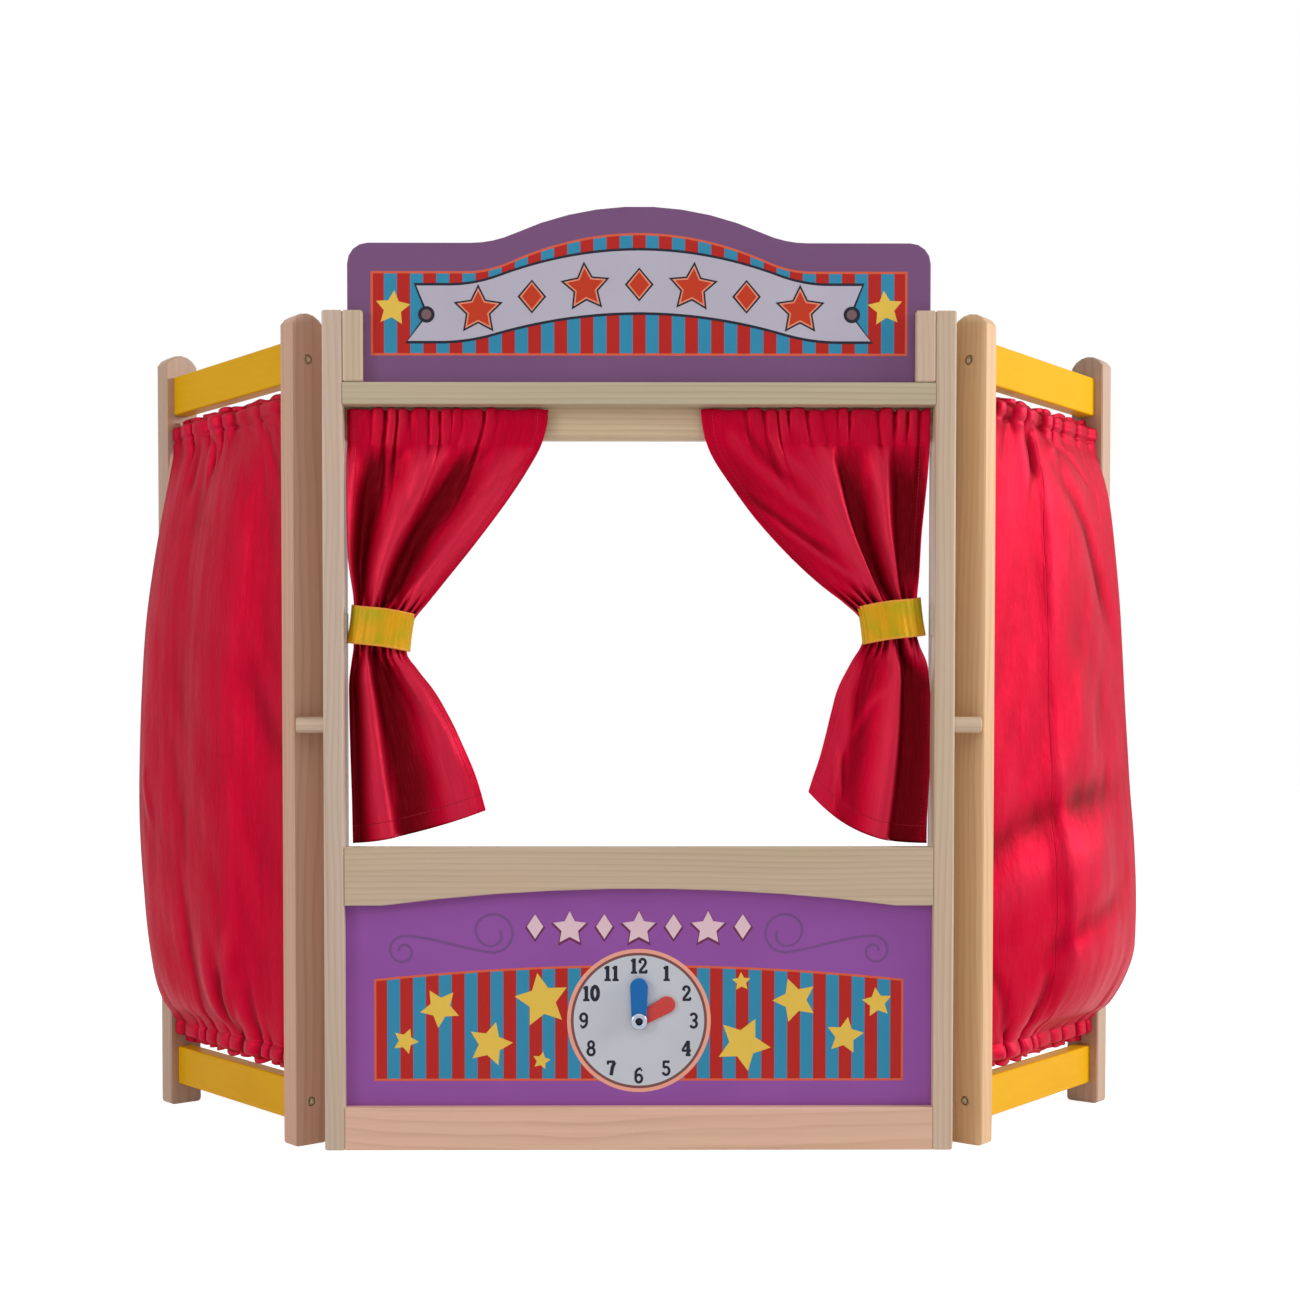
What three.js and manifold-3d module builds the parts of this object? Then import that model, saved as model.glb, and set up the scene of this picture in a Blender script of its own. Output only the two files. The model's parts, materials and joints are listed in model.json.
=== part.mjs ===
// Table-top puppet theatre: a wooden centre frame with a stage opening, tied-back curtains, a
// lift-in header board and a play clock, and two curtained wings hinged behind its posts.
// Lengths are millimetres. +Z is up and the front faces -Y. Left and right are as seen from the
// front, so side is -1 on the left and +1 on the right.

import * as THREE from 'three';
import { mergeVertices } from 'three/addons/utils/BufferGeometryUtils.js';
import Module from 'manifold-3d';

const wasm = await Module();
wasm.setup();

// Clearances, edges and facets
const fit = 0.3;                  // gap between separate pieces that meet or slide
const cutOverrun = 2;             // how far a cutter runs past what it cuts
const edgeRadius = 1.6;           // rounded long edges of the wood
const endChamfer = 1.1;           // eased ends and outline edges of the wood
const boardChamfer = 0.8;         // eased edges of the thin painted boards
const mergeTolerance = 0.0001;
const roundSteps = 12;            // facets round a full turn of a small round piece
const cornerSteps = 2;            // facets round a quarter turn of a small corner

// Centre frame
const frameWidth = 507;
const postFace = 16.5;
const postDepth = 30;
const postHeight = 674;
const railDepth = 18;             // front rails, front to back
const bottomRailHeight = 35;
const stageRailTop = 245;
const stageRailHeight = 47;       // at its ends, where the underside is level
const stageArchRise = 13.6;
const stageArchFlat = 30;         // level run at each end of the arch
const topRailDrop = 57;           // post top down to the top of the front top rail
const topRailHeight = 18;
const backRailDrop = 36;          // how far the back top rail hangs below the front top rail's top
const backRailRound = 7;          // rounded lower front edge
const backRailExtra = 7;          // height of that rounded stretch below the level front face
const tenonLength = 9;
const tenonThickness = 6;
const tenonShoulder = 4;

// Header board and the cleats that make its slot
const cleatWidth = 16;
const cleatDepth = 8;
const headerThickness = 8;
const headerSideGap = 3;          // its ends to the posts
const headerShoulder = 112;
const headerCornerRadius = 16.5;
const crownRise = 29;
const crownHalfSpan = 135;
const crownArcShare = 0.74;       // share of the half span that the convex arc takes
const crownSteps = 9;
const shoulderSteps = 4;

// Lower board
const boardThickness = 6;
const boardRecess = 8;            // behind the front of the posts
const grooveDepth = 6;

// Play clock
const clockHeight = 104;          // pivot above the ground
const pivotRadius = 3;
const pivotHeadRadius = 6.7;
const pivotHeadDepth = 1.5;
const pivotRecessRadius = 3.2;
const pivotRecessDepth = 0.7;
const nutRadius = 6;
const nutDepth = 4;
const nutSides = 6;
const handThickness = 2.4;
const handChamfer = 0.5;
const minuteReach = 35;
const minuteWidth = 14.4;
const minuteHubRadius = 6;
const hourReach = 33;
const hourWidth = 13.6;
const hourHubRadius = 5.4;
const hourAngle = 60;             // degrees clockwise from twelve

// Wings
const wingAngle = 50;             // degrees from the plane of the centre frame
const wingLength = 237;
const stileThickness = 18.5;
const stileWidth = 30;
const stileRise = 2;              // stile top above the post tops
const stileTopDrop = 9;           // how far the rounded top falls from its middle to its sides
const stileTopSteps = 6;
const stileFootRadius = 3;
const wingRailHeight = 34;
const wingRailThickness = 15;
const wingTopRailDrop = 20;       // stile top down to the top rail
const wingBottomRailLift = 18.5;
const boltHeadRadius = 3.8;
const boltHeadDepth = 3;
const boltSink = 0.5;             // head below the wood's face
const boltShankRadius = 2.2;
const boltGrip = 24;              // shank inside the rail
const rodRadius = 4;
const rodSocket = 6;
const rodDrop = 16;               // rod axis from the nearest edge of the rail

// Hinges
const hingeHeight = 44;
const hingeInset = 112;           // hinge middle from the nearest end of the post
const leafWidth = 12.5;
const leafThickness = 1.2;
const knuckleRadius = 2.2;
const hingePinRadius = 1.1;
const pinHeadRadius = 1.7;
const pinHeadDepth = 0.8;
const pinStandoff = 2.5;          // pin line from the two faces that the leaves lie on
const pinSideGap = 0.5;           // pin line from the two faces that meet when the wing is flat

// Stop pegs
const pegRadius = 6.5;
const pegFromFront = 8;
const pegSocket = 8;
const pegChamfer = 0.8;

// Stage curtains, their tapes and tie-backs
const clothThickness = 2.4;
const stageClothTopGap = 1.5;     // below the front top rail
const leftStageClothWidth = 162;  // of its gathered heading
const rightStageClothWidth = 186;
const stageClothHemGap = 3;       // above the stage rail
const stageClothSideGap = 1.6;    // heading to post
const leftStageHemLift = 27;      // inner corner of the hem above the outer one
const rightStageHemLift = 42;
const stageHeadingFold = 1.4;
const stageOpenFold = 6;
const stageTieFold = 8;
const stageFolds = 5;
const stageColumns = 20;
const stageRows = [7, 2, 6];      // above, inside and below the ribbon
const tapeHeight = 10;
const tapeThickness = 1.2;
const tapeInset = 3;
const leftTieDrop = 176;          // heading top down to the middle of the ribbon
const rightTieDrop = 170;
const ribbonWidth = 31;
const ribbonThickness = 1.2;
const ribbonHalfSpan = 25;
const ribbonHalfDepth = 12.5;
const ribbonTilt = 8;             // degrees, inner side lower
const ribbonSteps = 28;
const patchThickness = 1.5;
const patchHeight = 24;
const patchDepth = 12;

// Wing curtains
const wingClothRailGap = 7;       // heading edge from the rail
const wingClothFootGap = 5;
const wingClothStileGap = 1.5;
const wingClothRodGap = 0.6;
const wingHeadingFold = 1.6;
const wingBellyFold = 2.6;
const wingBellyNear = 4;          // how far the cloth swells at its edge by the front stile
const wingBellyFar = 27;          // and at its free far edge
const wingBellyMiddle = 24;       // and between them
const wingBellySpread = 22;       // how far the far edge swells past the back stile
const wingFolds = 5;
const wingColumns = 20;
const wingRows = 15;

// How open a stage curtain is from its heading down to the ribbon, and from the ribbon down to the
// hem: 1 is the heading's width and 0 the width inside the ribbon
const leftOpenAboveShares = [[0, 1], [0.19, 0.92], [0.39, 0.77], [0.76, 0.405], [0.92, 0.19], [1, 0]];
const leftOpenBelowShares = [[0, 0], [0.1, 0.135], [0.28, 0.284], [0.57, 0.446], [1, 0.568]];
const rightOpenAboveShares = [[0, 1], [0.16, 0.97], [0.33, 0.85], [0.675, 0.53], [0.89, 0.275], [1, 0]];
const rightOpenBelowShares = [[0, 0], [0.06, 0.13], [0.22, 0.187], [0.61, 0.253], [1, 0.349]];
const bunchPowerShare = 4;        // how quickly a bunch spreads into open folds
const leftHemAcrossPowerShare = 1.5; // how late the hem's lift starts across the cloth
const rightHemAcrossPowerShare = 2.6;
const hemDownPowerShare = 2;      // and down it
// Fold depth of a stage curtain down its drop: 0 is the heading's, 1 is the open cloth's
const openFoldShares = [[0, 0], [0.06, 0], [0.2, 0.5], [0.35, 0.9], [1, 1]];
const tongueShares = [0.2, 0.8];  // widest places of the hour hand along its reach
const hingeKnuckleShares = [1 / 3, 2 / 3];
const bellySkewPowerShare = 1.2;  // how far below the middle the belly's fullest place lies
const bellyFullPowerShare = 0.75; // how square the belly's profile is, 1 is a sine
const bellySpreadPowerShare = 3;  // how far its spread past the back stile keeps to the middle

// Places worked out from the sizes above
const halfFrame = frameWidth / 2;
const halfOpening = halfFrame - postFace;
const topRailTop = postHeight - topRailDrop;
const headerWidth = 2 * (halfOpening - headerSideGap);
const topRailUnder = topRailTop - topRailHeight;
const backRailUnder = topRailTop - backRailDrop - backRailExtra;
const backRailFront = railDepth + fit;
const stageRailUnder = stageRailTop - stageRailHeight;
const headerFront = cleatDepth + fit;
const headerBack = headerFront + headerThickness;
const boardFront = boardRecess;
const boardBack = boardRecess + boardThickness;
const pinX = halfFrame + pinSideGap;
const pinY = postDepth + pinStandoff;
const wingTurn = THREE.MathUtils.degToRad(wingAngle);
const wingStart = pinSideGap;
const wingEnd = wingStart + wingLength;
const bayStart = wingStart + stileThickness;
const bayEnd = wingEnd - stileThickness;
const stileInner = pinStandoff;
const stileOuter = pinStandoff + stileWidth;
const stileMiddle = (stileInner + stileOuter) / 2;
const stileHeight = postHeight + stileRise;
const wingTopRailTop = stileHeight - wingTopRailDrop;
const wingTopRailUnder = wingTopRailTop - wingRailHeight;
const wingBottomRailTop = wingBottomRailLift + wingRailHeight;
const stageClothTop = topRailUnder - stageClothTopGap;
const stageClothDrop = stageClothTop - stageRailTop - stageClothHemGap;
const tapeFront = backRailFront - fit - tapeThickness;
const stageClothMiddle = tapeFront - fit - clothThickness / 2 - stageHeadingFold;
const ribbonTurn = THREE.MathUtils.degToRad(ribbonTilt);
const ribbonLean = ribbonWidth / 2 * Math.sin(ribbonTurn);
const ribbonX = halfOpening - patchThickness - fit - ribbonHalfSpan * Math.cos(ribbonTurn) - ribbonLean;
const bunchHalf = (ribbonHalfSpan - ribbonThickness) * Math.cos(ribbonTurn) - ribbonLean - 2 * fit;

// Finishes
const finish = (color, roughness, metalness = 0) =>
  new THREE.MeshStandardMaterial({ color, roughness, metalness, flatShading: true });
const pine = finish(0xd9c09a, 0.6);
const purplePaint = finish(0x84519a, 0.45);
const yellowPaint = finish(0xf6b90f, 0.5);
const bluePaint = finish(0x2a63ad, 0.4);
const redPaint = finish(0xc63f3c, 0.4);
const redSatin = finish(0xb5122f, 0.45);
const yellowSatin = finish(0xddb02c, 0.5);
const hookTape = finish(0xe9e4da, 0.9);
const steel = finish(0xb9bcc2, 0.35, 1);
const polishedSteel = finish(0xd6d8dc, 0.2, 1);

// Axes that carry an outline's first and second axis and its extrusion
const axisX = new THREE.Vector3(1, 0, 0);
const axisY = new THREE.Vector3(0, 1, 0);
const axisZ = new THREE.Vector3(0, 0, 1);
const alongX = new THREE.Matrix4().makeBasis(axisY, axisZ, axisX);
const alongFront = new THREE.Matrix4().makeBasis(axisX, axisZ, axisY.clone().negate());

const theatre = new THREE.Group();

function add(parent, name, geometry, material) {
  const mesh = new THREE.Mesh(geometry, material);
  mesh.name = name;
  parent.add(mesh);
  return mesh;
}

const sideName = (side) => (side < 0 ? 'left' : 'right');

// Solids for joining and cutting

function solid(geometry) {
  const bare = geometry.clone();
  bare.deleteAttribute('normal');
  bare.deleteAttribute('uv');
  const merged = mergeVertices(bare, mergeTolerance);
  return new wasm.Manifold(new wasm.Mesh({
    numProp: 3,
    vertProperties: new Float32Array(merged.attributes.position.array),
    triVerts: new Uint32Array(merged.index.array),
  }));
}

function geometryOf(shape) {
  const mesh = shape.getMesh();
  const geometry = new THREE.BufferGeometry();
  geometry.setAttribute('position', new THREE.BufferAttribute(mesh.vertProperties, 3));
  geometry.setIndex(new THREE.BufferAttribute(mesh.triVerts, 1));
  const faceted = geometry.toNonIndexed();
  faceted.computeVertexNormals();
  return faceted;
}

function cut(geometry, ...cutters) {
  return geometryOf(cutters.reduce((rest, cutter) => rest.subtract(solid(cutter)), solid(geometry)));
}

function join(geometry, ...others) {
  return geometryOf(others.reduce((whole, other) => whole.add(solid(other)), solid(geometry)));
}

// Outlines

function arc(centreX, centreY, radius, from, to, steps) {
  return Array.from({ length: steps + 1 }, (_, step) => {
    const angle = THREE.MathUtils.lerp(from, to, step / steps);
    return new THREE.Vector2(centreX + radius * Math.cos(angle), centreY + radius * Math.sin(angle));
  });
}

function ring(radius, steps) {
  return arc(0, 0, radius, 0, 2 * Math.PI, steps).slice(0, -1);
}

function roundedRectangle(wide, tall, radius) {
  const right = wide - radius;
  const top = tall - radius;
  return [
    ...arc(radius, radius, radius, Math.PI, 1.5 * Math.PI, cornerSteps),
    ...arc(right, radius, radius, -0.5 * Math.PI, 0, cornerSteps),
    ...arc(right, top, radius, 0, 0.5 * Math.PI, cornerSteps),
    ...arc(radius, top, radius, 0.5 * Math.PI, Math.PI, cornerSteps),
  ];
}

function extrude(outline, length, chamfer = 0, hole = null) {
  const shape = new THREE.Shape(outline);
  if (hole) shape.holes.push(new THREE.Path(hole));
  const geometry = new THREE.ExtrudeGeometry(shape, {
    depth: length - 2 * chamfer,
    bevelEnabled: chamfer > 0,
    bevelThickness: chamfer,
    bevelSize: chamfer,
    bevelOffset: -chamfer,
    bevelSegments: 1,
  });
  return geometry.translate(0, 0, chamfer);
}

// An outline drawn in X and Z, as seen from the front, with its thickness from front to back
function upright(outline, front, back, chamfer = 0) {
  return extrude(outline, back - front, chamfer).applyMatrix4(alongFront).translate(0, back, 0);
}

// An outline drawn in Y and Z with its length along X
function crosswise(outline, start, end, chamfer = 0) {
  return extrude(outline, end - start, chamfer).applyMatrix4(alongX).translate(start, 0, 0);
}

function box(low, high) {
  const size = high.map((value, axis) => value - low[axis]);
  const middle = high.map((value, axis) => (value + low[axis]) / 2);
  return new THREE.BoxGeometry(...size).translate(...middle);
}

// A length of wood along X with rounded long edges and square ends
function rail(low, high) {
  const section = roundedRectangle(high[1] - low[1], high[2] - low[2], edgeRadius);
  return crosswise(section, low[0], high[0]).translate(0, low[1], low[2]);
}

// A length of wood along Z with rounded long edges and eased ends
function upstand(low, high) {
  const section = roundedRectangle(high[0] - low[0], high[1] - low[1], edgeRadius);
  return extrude(section, high[2] - low[2], endChamfer).translate(...low);
}

// A turned piece about Z from [radius, height] pairs, first and last on the axis or closed on itself
function turned(profile, steps = roundSteps) {
  const points = profile.map(([radius, height]) => new THREE.Vector2(radius, height));
  return new THREE.LatheGeometry(points, steps).rotateX(Math.PI / 2);
}

function rod(radius, length) {
  return turned([[0, 0], [radius, 0], [radius, length], [0, length]]);
}

// A smooth value read from a table of [place, value] shares
function readShares(table, place) {
  let next = table.findIndex(([start]) => start >= place);
  if (next < 1) next = place <= table[0][0] ? 1 : table.length - 1;
  const [fromPlace, fromValue] = table[next - 1];
  const [toPlace, toValue] = table[next];
  const along = THREE.MathUtils.clamp((place - fromPlace) / (toPlace - fromPlace), 0, 1);
  return THREE.MathUtils.lerp(fromValue, toValue, THREE.MathUtils.smoothstep(along, 0, 1) / 2 + along / 2);
}

// A closed sheet of cloth: place(across, down) gives its middle, and its thickness lies along Y.
// Both shares run from 0 to 1. flip turns the faces for a sheet that runs towards -X.
function clothSheet(place, columns, rows, flip) {
  const positions = [];
  const triangles = [];
  const index = (face, column, row) => (face * (rows + 1) + row) * (columns + 1) + column;
  for (const offset of [-clothThickness / 2, clothThickness / 2]) {
    for (let row = 0; row <= rows; row += 1) {
      for (let column = 0; column <= columns; column += 1) {
        const [x, y, z] = place(column / columns, row / rows);
        positions.push(x, y + offset, z);
      }
    }
  }
  const quad = (a, b, c, d) => {
    const corners = flip ? [a, c, b, a, d, c] : [a, b, c, a, c, d];
    triangles.push(...corners);
  };
  for (let row = 0; row < rows; row += 1) {
    for (let column = 0; column < columns; column += 1) {
      quad(index(0, column, row), index(0, column, row + 1),
        index(0, column + 1, row + 1), index(0, column + 1, row));
      quad(index(1, column, row), index(1, column + 1, row),
        index(1, column + 1, row + 1), index(1, column, row + 1));
    }
    quad(index(0, 0, row), index(1, 0, row), index(1, 0, row + 1), index(0, 0, row + 1));
    quad(index(0, columns, row), index(0, columns, row + 1),
      index(1, columns, row + 1), index(1, columns, row));
  }
  for (let column = 0; column < columns; column += 1) {
    quad(index(0, column, 0), index(0, column + 1, 0),
      index(1, column + 1, 0), index(1, column, 0));
    quad(index(0, column, rows), index(1, column, rows),
      index(1, column + 1, rows), index(0, column + 1, rows));
  }
  const geometry = new THREE.BufferGeometry();
  geometry.setAttribute('position', new THREE.Float32BufferAttribute(positions, 3));
  geometry.setIndex(triangles);
  geometry.computeVertexNormals();
  return geometry;
}

// Centre frame: outlines that more than one piece needs

// The arched edge between the stage rail and the lower board, from right to left
function archPoints(level) {
  const halfSpan = halfOpening - stageArchFlat;
  const radius = (halfSpan ** 2 + stageArchRise ** 2) / (2 * stageArchRise);
  const halfTurn = Math.asin(halfSpan / radius);
  const centreZ = level + stageArchRise - radius;
  return arc(0, centreZ, radius, Math.PI / 2 - halfTurn, Math.PI / 2 + halfTurn, crownSteps);
}

function lowerBoardOutline(spare) {
  const reach = halfOpening + grooveDepth + spare;
  const top = stageRailUnder + grooveDepth + spare;
  const bottom = bottomRailHeight - grooveDepth - spare;
  return [
    new THREE.Vector2(-reach, bottom), new THREE.Vector2(reach, bottom), new THREE.Vector2(reach, top),
    ...archPoints(top), new THREE.Vector2(-reach, top),
  ];
}

// Groove that the lower board sits in
function boardGroove() {
  return upright(lowerBoardOutline(fit), boardFront - fit, boardBack + fit);
}

// Stub tenons at both ends of a rail, and with spare the mortises that take them
const backTenonShift = (railDepth - (postDepth - backRailFront)) / 2;
const tenons = [
  { front: 0, low: topRailUnder, high: topRailTop },
  { front: 0, low: stageRailUnder + grooveDepth + tenonShoulder, high: stageRailTop },
  { front: 0, low: 0, high: bottomRailHeight - grooveDepth - tenonShoulder },
  { front: backRailFront - backTenonShift, low: backRailUnder, high: topRailTop },
];

function tenon({ front, low, high }, side, spare) {
  const tenonFront = front + (railDepth - tenonThickness) / 2;
  const root = halfOpening - tenonLength;
  const tip = halfOpening + tenonLength + spare;
  const [start, end] = side < 0 ? [-tip, -root] : [root, tip];
  return box([start, tenonFront - spare, low + tenonShoulder - spare],
    [end, tenonFront + tenonThickness + spare, high - tenonShoulder + spare]);
}

function withTenons(railGeometry, place) {
  return join(railGeometry, tenon(place, -1, 0), tenon(place, 1, 0));
}

// Centre frame: posts and rails

function buildPosts() {
  for (const side of [-1, 1]) {
    const [start, end] = side < 0 ? [-halfFrame, -halfOpening] : [halfOpening, halfFrame];
    const socketStart = side < 0 ? -halfFrame - cutOverrun : halfFrame - pegSocket - fit;
    const socket = rod(pegRadius + fit, pegSocket + fit + cutOverrun).applyMatrix4(alongX)
      .translate(socketStart, pegFromFront, pegHeight);
    const post = cut(upstand([start, 0, 0], [end, postDepth, postHeight]), boardGroove(), socket,
      ...tenons.map((place) => tenon(place, side, fit)));
    add(theatre, `${sideName(side)}_post`, post, pine);
  }
}

function buildRails() {
  const [topPlace, stagePlace, bottomPlace, backPlace] = tenons;
  const topRail = rail([-halfOpening, 0, topRailUnder], [halfOpening, railDepth, topRailTop]);
  add(theatre, 'front_top_rail', withTenons(topRail, topPlace), pine);
  const bottomRail = rail([-halfOpening, 0, 0], [halfOpening, railDepth, bottomRailHeight]);
  add(theatre, 'bottom_rail', cut(withTenons(bottomRail, bottomPlace), boardGroove()), pine);

  const stageOutline = [
    new THREE.Vector2(-halfOpening, stageRailUnder), ...archPoints(stageRailUnder).reverse(),
    new THREE.Vector2(halfOpening, stageRailUnder), new THREE.Vector2(halfOpening, stageRailTop),
    new THREE.Vector2(-halfOpening, stageRailTop),
  ];
  const stageRail = upright(stageOutline, 0, railDepth, boardChamfer);
  add(theatre, 'stage_rail', cut(withTenons(stageRail, stagePlace), boardGroove()), pine);

  const backSection = [
    ...arc(postDepth - edgeRadius, backRailUnder + edgeRadius, edgeRadius, -Math.PI / 2, 0, cornerSteps),
    new THREE.Vector2(postDepth, topRailTop), new THREE.Vector2(backRailFront, topRailTop),
    ...arc(backRailFront + backRailRound, backRailUnder + backRailRound, backRailRound,
      Math.PI, 1.5 * Math.PI, 2 * cornerSteps),
  ];
  const backRail = crosswise(backSection, -halfOpening, halfOpening);
  add(theatre, 'back_top_rail', withTenons(backRail, backPlace), pine);
}

function buildCleats() {
  for (const side of [-1, 1]) {
    const [start, end] = side < 0
      ? [-halfOpening, cleatWidth - halfOpening] : [halfOpening - cleatWidth, halfOpening];
    const low = topRailTop + fit;
    add(theatre, `${sideName(side)}_front_cleat`,
      upstand([start, 0, low], [end, cleatDepth, postHeight]), pine);
    add(theatre, `${sideName(side)}_rear_cleat`,
      upstand([start, headerBack + fit, low], [end, postDepth, postHeight]), pine);
  }
}

// Painted boards

function headerOutline() {
  const half = headerWidth / 2;
  const bottom = topRailTop + fit;
  const shoulder = bottom + headerShoulder;
  const crownTop = shoulder + crownRise;
  const convexSpan = crownHalfSpan * crownArcShare;
  const turn = 2 * Math.atan(crownRise / crownHalfSpan);
  const crownRadius = convexSpan / Math.sin(turn);
  const hollowRadius = (crownHalfSpan - convexSpan) / Math.sin(turn);
  const up = Math.PI / 2;
  const hollowZ = shoulder + hollowRadius;
  const rightHollow = arc(crownHalfSpan, hollowZ, hollowRadius, -up, -up - turn, shoulderSteps);
  const leftHollow = arc(-crownHalfSpan, hollowZ, hollowRadius, -up + turn, -up, shoulderSteps);
  const crown = arc(0, crownTop - crownRadius, crownRadius, up - turn, up + turn, crownSteps);
  const cornerX = half - headerCornerRadius;
  const cornerZ = shoulder - headerCornerRadius;
  return [
    new THREE.Vector2(-half, bottom), new THREE.Vector2(half, bottom),
    ...arc(cornerX, cornerZ, headerCornerRadius, 0, up, 2 * cornerSteps),
    ...rightHollow, ...crown.slice(1, -1), ...leftHollow,
    ...arc(-cornerX, cornerZ, headerCornerRadius, up, Math.PI, 2 * cornerSteps),
  ];
}

function buildBoards() {
  const header = upright(headerOutline(), headerFront, headerBack, boardChamfer);
  add(theatre, 'header_board', header, purplePaint);
  const pivotHole = rod(pivotRadius + fit, boardThickness + 2 * cutOverrun).rotateX(Math.PI / 2)
    .translate(0, boardBack + cutOverrun, clockHeight);
  const lowerBoard = upright(lowerBoardOutline(0), boardFront, boardBack);
  add(theatre, 'lower_board', cut(lowerBoard, pivotHole), purplePaint);
}

// Play clock, in order from the board towards the front

function clockHand(outline, back) {
  const bore = rod(pivotRadius + fit, handThickness + 2 * cutOverrun).rotateX(Math.PI / 2)
    .translate(0, back + cutOverrun, 0);
  return cut(upright(outline, back - handThickness, back, handChamfer), bore);
}

function buildClock() {
  const hourBack = boardFront - fit;
  const minuteBack = hourBack - handThickness - fit;
  const headBack = minuteBack - handThickness - fit;

  const minuteHalf = minuteWidth / 2;
  const minuteOutline = [
    ...arc(0, 0, minuteHubRadius, Math.PI, 2 * Math.PI, 3 * cornerSteps),
    ...arc(0, minuteReach - minuteHalf, minuteHalf, 0, Math.PI, 4 * cornerSteps),
  ];
  const minuteHand = add(theatre, 'minute_hand', clockHand(minuteOutline, minuteBack), bluePaint);
  minuteHand.position.set(0, 0, clockHeight);

  const hourHalf = hourWidth / 2;
  const hourOutline = [
    ...arc(0, 0, hourHubRadius, Math.PI, 2 * Math.PI, 3 * cornerSteps),
    new THREE.Vector2(hourHalf * tongueShares[1], hourReach * tongueShares[0]),
    ...arc(0, hourReach - hourHalf, hourHalf, 0, Math.PI, 4 * cornerSteps),
    new THREE.Vector2(-hourHalf * tongueShares[1], hourReach * tongueShares[0]),
  ];
  const hourHand = add(theatre, 'hour_hand', clockHand(hourOutline, hourBack), redPaint);
  hourHand.position.set(0, 0, clockHeight);
  hourHand.rotation.y = THREE.MathUtils.degToRad(hourAngle);

  const pivotTip = boardBack + fit + nutDepth;
  const pivotLength = pivotTip - headBack;
  const pivot = turned([
    [0, 0], [pivotRadius, 0], [pivotRadius, pivotLength], [pivotHeadRadius, pivotLength],
    [pivotHeadRadius - pivotHeadDepth / 2, pivotLength + pivotHeadDepth],
    [pivotRecessRadius, pivotLength + pivotHeadDepth],
    [pivotRecessRadius, pivotLength + pivotHeadDepth - pivotRecessDepth],
    [0, pivotLength + pivotHeadDepth - pivotRecessDepth],
  ], 2 * roundSteps).rotateX(Math.PI / 2);
  add(theatre, 'clock_pivot', pivot, polishedSteel).position.set(0, pivotTip, clockHeight);

  const nut = extrude(ring(nutRadius, nutSides), nutDepth, 0, ring(pivotRadius + fit, roundSteps))
    .rotateX(Math.PI / 2);
  add(theatre, 'clock_nut', nut, steel).position.set(0, boardBack + fit + nutDepth, clockHeight);
}

// Stop pegs, which reach from the posts to the hinge faces of the wings' front stiles

const pegHeight = postHeight / 2 + pegRadius;
const pegReach = (pinSideGap + (pinY - pegFromFront - pegRadius) * Math.sin(wingTurn)) / Math.cos(wingTurn)
  + pinSideGap - fit / Math.cos(wingTurn);

function buildStopPegs() {
  for (const side of [-1, 1]) {
    const length = pegReach + pegSocket;
    const profile = [
      [0, 0], [pegRadius, 0], [pegRadius, length - pegChamfer],
      [pegRadius - pegChamfer, length], [0, length],
    ];
    const peg = turned(profile, 2 * roundSteps).rotateY(side * Math.PI / 2);
    add(theatre, `${sideName(side)}_stop_peg`, peg, pine)
      .position.set(side * (halfFrame - pegSocket), pegFromFront, pegHeight);
  }
}

// Hinges: a leaf with its knuckles about the pin line, the leaf reaching along +X on its +Y side

function hingeLeaf(ownZones, otherZones) {
  const leafBack = pinStandoff - fit;
  const half = hingeHeight / 2;
  const plate = box([0, leafBack - leafThickness, -half], [leafWidth, leafBack, half]);
  const barrel = ([low, high], radius) => rod(radius, high - low).translate(0, 0, low);
  const knuckles = ownZones.map((zone) => barrel(zone, knuckleRadius));
  const spaces = otherZones.map(([low, high]) => barrel([low - fit, high + fit], knuckleRadius + fit));
  const bore = barrel([-hingeHeight, hingeHeight], hingePinRadius + fit / 2);
  return cut(join(plate, ...knuckles), ...spaces, bore);
}

const hingeEdges = [0, ...hingeKnuckleShares, 1].map((share) => (share - 0.5) * hingeHeight);
const middleZone = [hingeEdges[1] + fit, hingeEdges[2] - fit];
const endZones = [[hingeEdges[0], hingeEdges[1]], [hingeEdges[2], hingeEdges[3]]];
const hingeHeights = { upper: postHeight - hingeInset, lower: hingeInset };

function buildFrameHinges() {
  for (const side of [-1, 1]) {
    for (const [level, height] of Object.entries(hingeHeights)) {
      const name = `${sideName(side)}_${level}_hinge`;
      const leaf = add(theatre, `${name}_frame_leaf`, hingeLeaf(endZones, [middleZone]), steel);
      leaf.position.set(side * pinX, pinY, height);
      leaf.rotation.set(side < 0 ? Math.PI : 0, 0, side < 0 ? 0 : Math.PI);
      const headLow = hingeHeight / 2 + fit;
      const pin = turned([
        [0, -headLow - pinHeadDepth], [pinHeadRadius, -headLow - pinHeadDepth], [pinHeadRadius, -headLow],
        [hingePinRadius, -headLow], [hingePinRadius, headLow], [pinHeadRadius, headLow],
        [pinHeadRadius, headLow + pinHeadDepth], [0, headLow + pinHeadDepth],
      ]);
      add(theatre, `${name}_pin`, pin, steel).position.set(side * pinX, pinY, height);
    }
  }
}

// Stage curtains, with the tapes and the tie-backs that hold them

const stageCloths = {
  left: {
    width: leftStageClothWidth,
    tieDrop: leftTieDrop,
    hemLift: leftStageHemLift,
    hemAcrossPower: leftHemAcrossPowerShare,
    openAbove: leftOpenAboveShares,
    openBelow: leftOpenBelowShares,
  },
  right: {
    width: rightStageClothWidth,
    tieDrop: rightTieDrop,
    hemLift: rightStageHemLift,
    hemAcrossPower: rightHemAcrossPowerShare,
    openAbove: rightOpenAboveShares,
    openBelow: rightOpenBelowShares,
  },
};

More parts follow.
